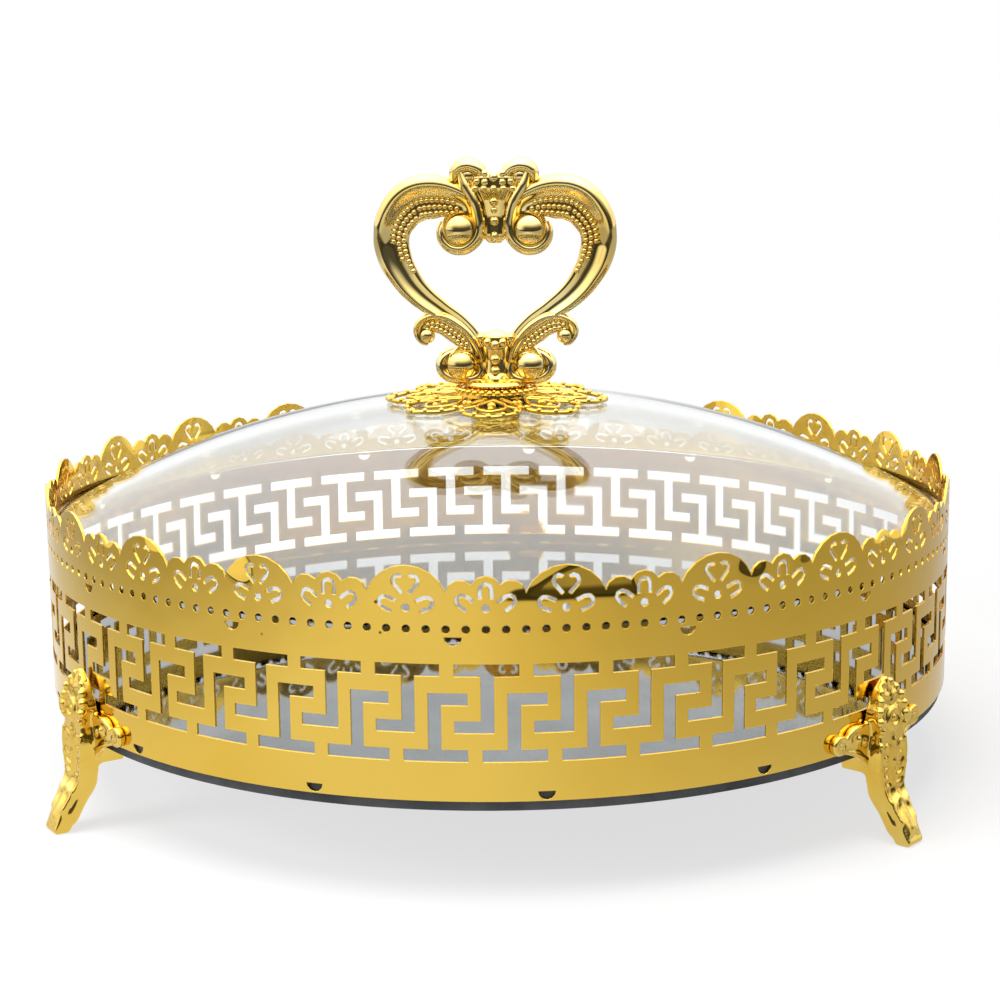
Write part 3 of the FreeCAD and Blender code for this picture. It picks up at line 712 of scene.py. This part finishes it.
# %% Stations of the heart handle
SHOULDER = [(7.4, 55.6, 2.8), (9.6, 59.6, 4.8), (13.5, 61.5, 6.0), (20.0, 62.5, 7.4), (26.7, 61.3, 7.5),
            (32.2, 55.9, 6.8), (34.3, 49.8, 6.0), (33.5, 43.0, 5.7), (30.5, 36.6, 5.0), (25.7, 30.5, 4.3),
            (18.3, 24.7, 3.4), (11.5, 19.9, 2.9), (7.1, 14.5, 2.6), (5.4, 7.7, 2.4)]
RIB = [(11.2, 70.8, 1.8), (9.5, 66.4, 2.4), (6.6, 61.3, 2.6), (5.2, 56.6, 2.5), (5.0, 51.8, 2.4),
       (7.4, 47.3, 2.4), (11.8, 45.4, 2.3), (16.2, 47.3, 2.1), (17.5, 51.1, 1.8), (16.6, 54.2, 1.4)]
TOP_CURL = [(13.4, 67.6, 1.2), (12.4, 71.0, 2.2), (9.8, 72.7, 2.6), (6.8, 72.4, 2.5), (4.4, 70.4, 2.1),
            (4.8, 68.2, 1.5)]
FOOT_ROLL = [(5.4, 6.4, 2.4), (8.8, 13.2, 3.4), (13.5, 17.9, 4.0), (18.3, 20.6, 3.8), (22.3, 20.6, 3.2),
             (25.0, 18.3, 2.6), (24.2, 15.2, 2.0), (22.3, 14.2, 1.4)]
FOOT_RING = [(5.2, 7.5, 1.8), (4.8, 4.6, 2.0), (6.6, 2.6, 2.1), (11.0, 2.2, 2.1), (16.0, 3.0, 2.1),
             (18.2, 5.8, 2.0), (17.0, 9.4, 1.8), (13.6, 11.4, 1.3)]
COLLAR = [(0, 0, 10.6), (0, 0.5, 10.8), (0, 1.6, 10.2), (0, 2.6, 7.0)]
LOWER_COLUMN = [(0, 1, 8.0), (0, 4, 4.9), (0, 9, 4.2), (0, 13, 4.9), (0, 16.4, 4.4), (0, 18, 2.0)]
UPPER_COLUMN = [(0, 47.2, 2.0), (0, 49.6, 4.6), (0, 56, 4.8), (0, 61, 6.2), (0, 65.4, 8.8), (0, 69, 8.8),
                (0, 71.2, 5.0)]
BALLS = [(11.7, 51.8, 6.3), (11.5, 6.7, 5.9), (8.6, 69.4, 3.2), (23.0, 16.4, 2.7)]
MIDDLE_PEARLS = [(0, 69.0, 1.7, 3.2), (2.9, 70.2, 1.3, 3.2), (0, 61.0, 1.6, 2.6), (0, 58.2, 1.2, 2.4),
                 (0, 54.6, 1.6, 2.2), (0, 49.6, 1.5, 2.0), (3.2, 65.2, 1.3, 3.4), (6.2, 65.2, 1.3, 2.6),
                 (0, 65.2, 1.3, 3.8), (5.0, 16.0, 1.4, 3.0), (2.9, 67.4, 1.3, 3.4), (5.6, 67.6, 1.3, 2.8),
                 (2.6, 14.6, 1.4, 4.2), (0, 13.8, 1.5, 4.8), (0, 8.8, 1.9, 3.8), (0, 5.0, 1.7, 4.2)]
SHOULDER_PEARLS = [(0.14, 0.15, 0.50), (0.43, 0.12, 0.57), (0.72, 0.14, 0.64)]
FOOT_PEARLS = [(0.15, 0.16, 0.62), (0.55, 0.14, 0.70)]
print("stations on the shoulder:", len(SHOULDER), "and rows of pearls:", len(SHOULDER_PEARLS + FOOT_PEARLS))

# %% [markdown]
# The pearls of a row have to lie at an even pitch along a curved roll. A smooth curve through the same
# stations says where the roll runs, and each pearl steps on by the pitch from the one before. Both faces of
# the handle carry them.

# %% Pearls of the handle
PEARL_PITCH = 1.75
PEARL_RADIUS = 0.92
PEARL_DEPTH_SHARE = 0.28
STEP = 0.01


def between_stations(stations, share):
    """Place and half breadth at a share of the way through stations, along a smooth curve."""
    last = len(stations) - 1
    spot = min(max(share, 0), 1) * last
    i = min(int(spot), last - 1)
    t = spot - i
    before, start, end, after = (Vector(stations[min(max(j, 0), last)]) for j in range(i - 1, i + 3))
    return (start * (2 * t**3 - 3 * t**2 + 1) + (end - before) / 2 * (t**3 - 2 * t**2 + t)
            + end * (3 * t**2 - 2 * t**3) + (after - start) / 2 * (t**3 - t**2))


def pearl_row(stations, inward, first, last):
    """Pearls along a roll, at a share of its half breadth inwards, on its front and its back."""

    def spot(share):
        here, ahead = between_stations(stations, share), between_stations(stations, share + STEP)
        along = (ahead - here).xy.normalized()
        return here.xy + Vector((along.y, -along.x)) * inward * here.z, here.z * PEARL_DEPTH_SHARE

    spots = []
    share = first
    while share < last:
        place, deep = spot(share)
        for face in (-1, 1):
            spots.append((place.x * MM, face * deep * MM, place.y * MM, PEARL_RADIUS * MM))
        share += STEP * PEARL_PITCH / (spot(share + STEP)[0] - place).length
    return spots


def handle_pearls(shoulder, foot):
    spots = []
    for stations, rows in ((shoulder, SHOULDER_PEARLS), (foot, FOOT_PEARLS)):
        for row in rows:
            spots += pearl_row(stations, *row)
    for x, up, radius, deep in MIDDLE_PEARLS:
        for face in (-1, 1):
            spots.append((x * MM, face * deep * MM, HANDLE_BASE + up * MM, radius * MM))
    return beads(spots)


# %% [markdown]
# A half of the handle is put together from its rolls, pearls and balls, and then mirrored. The column in the
# middle joins the halves. All of it becomes one piece, as it comes from the mould.

# %% Heart handle
CAST_ANGLE = 60
BALL_SEGMENTS = 32
BALL_RINGS = 20
BALL_DEPTH_SHARE = 1.12


def up_from_base(stations):
    return [(x, up + HANDLE_BASE / MM, half) for x, up, half in stations]


def handle_ball(x, up, radius):
    bpy.ops.mesh.primitive_uv_sphere_add(segments=BALL_SEGMENTS, ring_count=BALL_RINGS, radius=radius * MM,
                                         location=(x * MM, 0, HANDLE_BASE + up * MM))
    ball = bpy.context.object
    ball.scale.y = BALL_DEPTH_SHARE
    return settle(ball)


def heart_handle():
    shoulder, foot = up_from_base(SHOULDER), up_from_base(FOOT_ROLL)
    parts = [roll(shoulder, CHANNEL_SECTION), roll(foot, CHANNEL_SECTION)]
    parts += [roll(up_from_base(stations), DEEP_SECTION) for stations in (RIB, TOP_CURL, FOOT_RING)]
    parts.append(handle_pearls(shoulder, foot))
    parts += [handle_ball(*ball) for ball in BALLS]
    halves = mirrored(join("scrolls", parts))
    middle = [roll(up_from_base(stations), ROUND_SECTION) for stations in (COLLAR, LOWER_COLUMN)]
    middle.append(roll(up_from_base(UPPER_COLUMN), FLAT_SECTION))
    return smooth(join("heart_handle_casting", [halves, *middle]), CAST_ANGLE)


dress(heart_handle(), "lid", "gilt_casting", GILT_CASTING, "heart_handle")

# %% [markdown]
# A filigree flower lies on the glass under the handle. Each petal is a loop of cast wire with a smaller loop
# inside it, pearls along its edge and a pearl at its tip. One petal is bent to the dome and copied round the
# axis. Its stations are (reach from the axis, sideways) in millimetres, and DRAPE is the height of the wires
# over the glass.

# %% Rosette
PETALS = 8
PETAL_LOOP = [(8.5, 0), (14, 3.2), (20, 7.4), (26, 9.6), (31, 8.6), (34.6, 4.6), (36.4, 0)]
INNER_LOOP = [(14.5, 0), (18, 2.6), (22.5, 4.6), (26.5, 4.0), (29, 1.8), (30, 0)]
STAY = [(26, 9.4), (24, 6.6), (22.5, 4.6)]
WIRE_RADIUS = 0.75
INNER_SHARE = 0.85
STAY_RADIUS = 0.55
DRAPE = 1.15
EDGE_PEARL = 0.95
EDGE_LIFT = 0.5
PETAL_PEARLS = [(36.2, 0.2, 1.25), (22.5, 0, 1.5), (26.5, 0, 1.1)]
CENTRE_PEARLS = ((24, 10.2, 1.15), (30, 12.8, 1.15))
CENTRE_SINK_SHARE = 1.1
BOSS_FOOT, BOSS_FOOT_HALF = 1.0, 13.6
BOSS_TOP = [(-1.6, 13.4), (-0.6, 11.0), (0, 9.8)]


def draped(reach, sideways, lift, radius):
    """A station on the dome, at a reach from the axis towards the front and a distance to the side."""
    place = Vector((sideways * MM, -reach * MM, 0))
    return (place.x, place.y, dome_height(place.length) + (DRAPE + lift) * MM, radius * MM)


def petal():
    parts = []
    for loop, radius in ((PETAL_LOOP, WIRE_RADIUS), (INNER_LOOP, WIRE_RADIUS * INNER_SHARE)):
        around = loop + [(reach, -side) for reach, side in reversed(loop[:-1])]
        parts.append(wire([draped(reach, side, 0, radius) for reach, side in around]))
    spots = []
    for reach, side in PETAL_LOOP[2:-1]:
        spots += [draped(reach, side * face, EDGE_LIFT, EDGE_PEARL) for face in (-1, 1)]
    spots += [draped(reach, 0, lift, radius) for reach, lift, radius in PETAL_PEARLS]
    for face in (-1, 1):
        parts.append(wire([draped(reach, side * face, 0, STAY_RADIUS) for reach, side in STAY]))
    parts.append(beads(spots))
    return join("petal", parts)


def rosette():
    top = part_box("rosette")[1].z
    first = petal()
    petals = [turned_copy(first, 2 * math.pi * i / PETALS) for i in range(1, PETALS)]
    spots = []
    for number, reach, radius in CENTRE_PEARLS:
        height = top - radius * MM * CENTRE_SINK_SHARE
        spots += [(x * reach * MM, y * reach * MM, height, radius * MM) for x, y in on_circle(number)]
    stations = [(0, dome_height(0) / MM + BOSS_FOOT, BOSS_FOOT_HALF)]
    stations += [(0, top / MM + up, half) for up, half in BOSS_TOP]
    boss = roll(stations, ROUND_SECTION)
    pearls = beads(spots)
    return smooth(join("filigree_rosette", [first, *petals, pearls, boss]), CAST_ANGLE)


dress(rosette(), "lid", "gilt_casting", WARM_CASTING, "rosette")

# %% [markdown]
# Each foot is a small casting: a leaf with a beaded edge lies up the gallery, scrolled wings run beside it,
# and a slender leg curves out to a rounded toe. First come the stations of its ornament. They are (sideways,
# up from the table, radius) in millimetres, most of them for one half, which is mirrored. FOOT_FRONT says how
# far the front of the foot stands out from the gallery at a height, so that ornament can be laid on it.

# %% Stations of the foot
FOOT_FRONT = [(51, 2.2), (45.1, 4.5), (37.6, 5.5), (30, 5.8), (23.4, 5.6), (16.5, 6.1), (11.1, 9.3),
              (7.2, 12.0), (2.4, 14.2), (0.9, 14.8)]
LEAF_BEADS = [(0, 50.0, 0.9), (2.3, 49.0, 1.1), (4.3, 46.9, 1.2), (5.8, 44.4, 1.4), (6.8, 41.5, 1.5),
              (7.0, 38.4, 1.5), (6.2, 35.6, 1.2)]
LEAF_RIBS = [[(0, 49, 0.7), (0, 46, 0.9), (0, 43, 1.0)],
             [(0.6, 45, 0.5), (2.4, 45.6, 0.7), (3.8, 45.4, 0.5)],
             [(2.6, 41.8, 0.5), (4.0, 42.2, 0.7), (5.4, 41.6, 0.5)],
             [(3.4, 37.4, 0.5), (4.6, 37.6, 0.7), (5.8, 37.0, 0.5)]]
LEG_ROLLS = [[(6.6, 31.5, 0.8), (6.9, 27, 1.0), (6.5, 22, 1.0), (5.5, 17, 0.9), (4.5, 12, 0.9),
              (4.0, 7, 0.8)],
             [(5.6, 28.6, 0.6), (4.0, 30.4, 0.7), (2.7, 28.6, 0.8), (3.4, 26.2, 0.8), (4.8, 26.8, 0.6)],
             [(6.0, 24.5, 0.5), (4.6, 22.8, 0.7), (2.6, 22.8, 0.5)],
             [(5.8, 21.6, 0.5), (4.4, 20, 0.7), (2.5, 20, 0.5)],
             [(5.2, 18.8, 0.5), (4.0, 17.2, 0.7), (2.3, 17.2, 0.5)],
             [(4.4, 10.5, 0.7), (2.6, 12.4, 0.9), (0, 13, 1.0)],
             [(2.4, 9, 0.6), (2.4, 6, 0.8), (2.2, 3.4, 0.7)]]
LEG_BEADS = [(0, 25, 1.5), (0, 18.6, 1.1), (0, 13.4, 1.6), (4.5, 13, 1.2), (6.7, 23.2, 1.2), (0, 31.6, 1.2)]
CENTRE_RIB = [(0, 34.5, 1.5), (0, 29, 2.0), (0, 21, 1.9), (0, 15, 1.6), (0, 9, 1.8), (0, 4, 2.0)]
RIB_LIFT = -0.9
TOE_BEADS = [(1.7, 2.9, 2.8)]
TOE_LIFT = -2.6
FLANK_ROLL = [(5.0, 21, 1.8), (4.2, 15.5, 2.6), (3.4, 10.5, 2.6), (2.8, 5.4, 3.0), (2.6, 3.4, 2.6)]
FLANK_LIFT = -4.0
WING_ROLLS = [[(7.5, 36.4, 0.7), (10.5, 37.2, 0.9), (14, 37.0, 1.0), (16.8, 35.4, 0.9), (16.0, 33.8, 0.7)],
              [(17.6, 34.4, 0.7), (20.2, 35.8, 0.9), (22.6, 35.0, 1.1), (22.9, 32.6, 1.1), (21.2, 31.4, 1.0),
               (19.5, 32.2, 0.9), (20.0, 33.8, 0.8)],
              [(18.4, 31, 0.7), (13.6, 29.4, 0.9), (9.4, 26.8, 0.9), (7.6, 23.8, 0.7)]]
WING_BEADS = [(12.4, 33.8, 1.4), (9.2, 32.6, 1.1), (21.2, 33.4, 1.0)]
WING_LIFT = 1.6
BOSS_UP = 38.6
BOSS_BEAD = [(0, BOSS_UP, 1.3)]
RING_REACH = 2.7
RING_RADIUS = 1.0
BOSS_RING = [(RING_REACH * x, BOSS_UP + RING_REACH * y, RING_RADIUS) for x, y in [*on_circle(12), (1, 0)]]
RING_LIFT = 0.3
print("rolls on half a foot:", len(LEAF_RIBS + LEG_ROLLS + WING_ROLLS))

# %% [markdown]
# Ornament follows the form that it lies on. On the leaf and the leg, FOOT_FRONT gives its place. A wing lies
# along the gallery, so its face is part of a cylinder. Beads and ribs alone would leave the leg square, so a
# thicker roll runs down inside each flank.

# %% Ornament of the foot
FLANK_SIDES = 4


def on_leg(x, up, lift=0):
    """A place on the front of the foot, at a distance to the side and a height over the table."""
    for (high, far), (low, near) in zip(FOOT_FRONT, FOOT_FRONT[1:]):
        if up >= low:
            break
    reach = far + (near - far) * (high - up) / (high - low)
    return Vector((x * MM, -RIM - (reach + lift) * MM, FLOOR + up * MM))


def on_wing(x, up):
    """A place on the face of a wing, which follows the gallery."""
    radius = RIM + WING_LIFT * MM
    return Vector((x * MM, -math.sqrt(radius**2 - (x * MM)**2), FLOOR + up * MM))


def laid(stations, lay, *lift):
    """Stations laid on the foot by a function that gives their place."""
    return [(*lay(x, up, *lift), radius * MM) for x, up, radius in stations]


def half_ornament():
    parts = [wire(laid(stations, on_leg)) for stations in LEAF_RIBS + LEG_ROLLS]
    parts.append(wire(laid(FLANK_ROLL, on_leg, FLANK_LIFT), sides=FLANK_SIDES))
    parts += [wire(laid(stations, on_wing)) for stations in WING_ROLLS]
    spots = laid(LEAF_BEADS + LEG_BEADS, on_leg) + laid(TOE_BEADS, on_leg, TOE_LIFT)
    parts.append(beads(spots + laid(WING_BEADS, on_wing)))
    return join("half_ornament", parts)


# %% [markdown]
# The construction has the plain form of the foot. Its mesh is copied, the ornament is laid on it, and a voxel
# remesh melts everything into one skin, as metal in a mould does. The lower leg is then smoothed once more
# without moving up or down, which rounds its flanks and keeps its height.

# %% Foot casting
BLANK_SEAM = 0.01 * MM
FOOT_VOXEL = 0.42 * MM
SOFTNESS = 0.5
MOULD_ROUNDS = 5
LEG_ROUNDS = 30
ROUND_BELOW = 18 * MM


def soften(piece, name, rounds):
    softer = piece.modifiers.new(name, "SMOOTH")
    softer.factor = SOFTNESS
    softer.iterations = rounds
    return softer


def foot_casting():
    blank = bpy.data.objects.new("foot_blank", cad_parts["foot_back"].data.copy())
    bpy.context.scene.collection.objects.link(blank)
    blank.rotation_euler.z = math.pi
    settle(blank)
    choose_all(blank)
    bpy.ops.mesh.remove_doubles(threshold=BLANK_SEAM)
    ornament = mirrored(half_ornament())
    rib = wire(laid(CENTRE_RIB, on_leg, RIB_LIFT))
    boss = beads(laid(BOSS_BEAD, on_leg))
    ring = wire(laid(BOSS_RING, on_leg, RING_LIFT))
    casting = join("foot_casting", [blank, ornament, rib, ring, boss])
    skin = casting.modifiers.new("one_skin", "REMESH")
    skin.mode = "VOXEL"
    skin.voxel_size = FOOT_VOXEL
    soften(casting, "soft_mould", MOULD_ROUNDS)
    apply_modifiers(casting)
    leg = casting.vertex_groups.new(name="leg")
    below = [vertex.index for vertex in casting.data.vertices if vertex.co.z < FLOOR + ROUND_BELOW]
    leg.add(below, 1.0, "REPLACE")
    rounded = soften(casting, "rounded_leg", LEG_ROUNDS)
    rounded.vertex_group = leg.name
    rounded.use_z = False
    apply_modifiers(casting)
    select_only(casting)
    bpy.ops.object.shade_smooth()
    return casting


pattern = foot_casting()
print("foot pattern:", len(pattern.data.vertices), "vertices")

# %% [markdown]
# The three feet come from one mould. The pattern stands at the front, and a copy of it is turned to each
# place.

# %% Three feet
FOOT_ANGLES = {"foot_left": -53.75, "foot_right": 53.75, "foot_back": 180.0}
for name, angle in FOOT_ANGLES.items():
    cast = turned_copy(pattern, math.radians(angle))
    cast.name = f"{name}_casting"
    dress(cast, "tray", "gilt_casting", WARM_CASTING, name)
bpy.data.objects.remove(pattern)

# %% [markdown]
# A studio for tableware has a pale table. The camera sees it as plain white, apart from the shadow near the
# dish. Polished metal also needs something dark to show, or it looks like painted plastic. So reflections see
# a table that is brightest a little to the left, falls off to both sides and ends before the camera.

# %% Floor
FLOOR_SIZE = 60.0
FLOOR_TONE = 0.9
APRON = (0.20, 0.55)
SHADOW_SHARE = 0.3
TABLE_SPAN = 0.6
TABLE_TONES = [(0.10, 0.50), (0.34, 0.95), (0.50, 0.93), (0.70, 0.62), (0.90, 0.50)]
TABLE_END = (-0.95, -0.60)
ROOM_DARK = 0.08


def glow(tree, colour, strength):
    return node(tree, "ShaderNodeEmission", {"Color": colour, "Strength": strength}).outputs["Emission"]


def plain_rays(tree, rays):
    """One for rays that come from the camera or through glass, which see plain white."""
    return calculate(tree, "MAXIMUM", rays["Is Camera Ray"], rays["Is Transmission Ray"])


def table_glow(tree, place):
    """What reflections see of the table."""
    spread = node(tree, "ShaderNodeSeparateXYZ", {0: place}).outputs
    across = map_range(tree, spread["X"], (-TABLE_SPAN, TABLE_SPAN))
    tones = colour_ramp(tree, across, [(position, grey(tone)) for position, tone in TABLE_TONES])
    return glow(tree, tones, map_range(tree, spread["Y"], TABLE_END, (ROOM_DARK, 1.0), "SMOOTHSTEP"))


def pale_floor():
    material = bpy.data.materials.new("pale_floor")
    material.use_nodes = True
    tree = material.node_tree
    tree.nodes.clear()
    rays = node(tree, "ShaderNodeLightPath").outputs
    place = node(tree, "ShaderNodeTexCoord").outputs["Object"]
    distance = vector_math(tree, "LENGTH", place, result="Value")
    apron = map_range(tree, distance, APRON, (SHADOW_SHARE, 0.0), "SMOOTHSTEP")
    lit = node(tree, "ShaderNodeBsdfDiffuse", {"Color": grey(FLOOR_TONE)}).outputs["BSDF"]
    shown = mix_shaders(tree, apron, glow(tree, grey(1.0), 1.0), lit)
    direct = mix_shaders(tree, plain_rays(tree, rays), lit, shown)
    mixed = mix_shaders(tree, rays["Is Glossy Ray"], direct, table_glow(tree, place))
    node(tree, "ShaderNodeOutputMaterial", {"Surface": mixed})
    return material


select_only()
bpy.ops.mesh.primitive_plane_add(size=FLOOR_SIZE, location=(0, 0, FLOOR))
floor = bpy.context.object
floor.name = "floor"
floor.data.materials.append(pale_floor())
print(f"floor at {FLOOR / MM:.1f} mm")

# %% [markdown]
# The room is white to the camera too. Reflections see one that is bright above, behind the dish and to the
# left, and dark behind the camera and to the right, so that rolls and balls get a light and a dark side. Its
# fill light on matt surfaces is weak, because the lamps do that work.

# %% World
ROOM_WHITE = 1.15
ROOM_TOP = 3.6
ROOM_LEFT = 0.45
ROOM_FILL = 0.35
ROOM_RISE = (0.18, 1.0)
ROOM_CURVE = 1.4
WALL_TURN = (-0.7, 0.0)


def background(tree, strength):
    values = {"Color": grey(1.0), "Strength": strength}
    return node(tree, "ShaderNodeBackground", values).outputs["Background"]


def studio_world():
    world = bpy.data.worlds.new("studio_world")
    bpy.context.scene.world = world
    world.use_nodes = True
    tree = world.node_tree
    tree.nodes.clear()
    rays = node(tree, "ShaderNodeLightPath").outputs
    direction = node(tree, "ShaderNodeTexCoord").outputs["Generated"]
    way = node(tree, "ShaderNodeSeparateXYZ", {0: direction}).outputs
    turned = calculate(tree, "MULTIPLY_ADD", way["X"], -ROOM_LEFT, way["Y"])
    wall = map_range(tree, turned, WALL_TURN, (ROOM_DARK, ROOM_WHITE), "SMOOTHSTEP")
    rise = calculate(tree, "POWER", map_range(tree, way["Z"], ROOM_RISE), ROOM_CURVE)
    room = background(tree, map_range(tree, rise, target=(wall, ROOM_TOP)))
    direct = mix_shaders(tree, plain_rays(tree, rays), background(tree, ROOM_FILL), background(tree, 1.0))
    mixed = mix_shaders(tree, rays["Is Glossy Ray"], direct, room)
    node(tree, "ShaderNodeOutputWorld", {"Surface": mixed})
    return world


print("world:", studio_world().name)

# %% [markdown]
# The lamps are large, so that their shadows are soft: the stronger one hangs above, and a weaker one stands
# at the left. Polished metal and the mirror under the glass would show them as hard white discs, so they are
# hidden from reflections and from rays that pass the glass.

# %% Lamps
LAMPS = {
    "top_lamp": ((-0.25, -0.35, 1.5), 1.3, 24.0),
    "left_lamp": ((-1.5, -0.9, 0.9), 0.9, 16.0),
}
LAMP_TARGET = Vector((0, 0, 0.04))

for name, (spot, width, power) in LAMPS.items():
    bpy.ops.object.light_add(type="AREA", location=spot)
    lamp = bpy.context.object
    lamp.name = name
    lamp.data.shape = "DISK"
    lamp.data.size = width
    lamp.data.energy = power
    lamp.visible_glossy = lamp.visible_transmission = False
    lamp.rotation_euler = (LAMP_TARGET - lamp.location).to_track_quat("-Z", "Y").to_euler()
print("lamps:", ", ".join(LAMPS))

# %% [markdown]
# The camera looks at the dish from a little above the rim, through a long lens. Its place was worked out from
# the ellipses that the gallery's edges draw in the picture.

# %% Camera
CAMERA_LENS = 85.86
CAMERA_SENSOR = 36.0
CAMERA_NEAR = 0.01
CAMERA_REACH = 0.7894
CAMERA_RISE = 0.221
CAMERA_AZIMUTH = math.radians(4.25)
CAMERA_DIP = math.radians(11.85)
CAMERA_ROLL = math.radians(-0.6)
CAMERA_SHIFT = 0.0024

select_only()
spot = (CAMERA_REACH * math.sin(CAMERA_AZIMUTH), -CAMERA_REACH * math.cos(CAMERA_AZIMUTH),
        GALLERY_EDGE + CAMERA_RISE)
bpy.ops.object.camera_add(location=spot)
camera = bpy.context.object
turned = Matrix.Rotation(CAMERA_AZIMUTH, 3, "Z") @ Matrix.Rotation(math.pi / 2 - CAMERA_DIP, 3, "X")
camera.rotation_euler = (turned @ Matrix.Rotation(CAMERA_ROLL, 3, "Z")).to_euler()
camera.data.lens = CAMERA_LENS
camera.data.sensor_width = CAMERA_SENSOR
camera.data.shift_x = CAMERA_SHIFT
camera.data.clip_start = CAMERA_NEAR
bpy.context.scene.camera = camera
bpy.context.scene.view_settings.view_transform = "Standard"
print("camera at", tuple(round(x, 4) for x in camera.location))

# %% [markdown]
# The section curves have done their work and go.

# %% Remove the section curves
for section in SECTIONS:
    bpy.data.objects.remove(section)
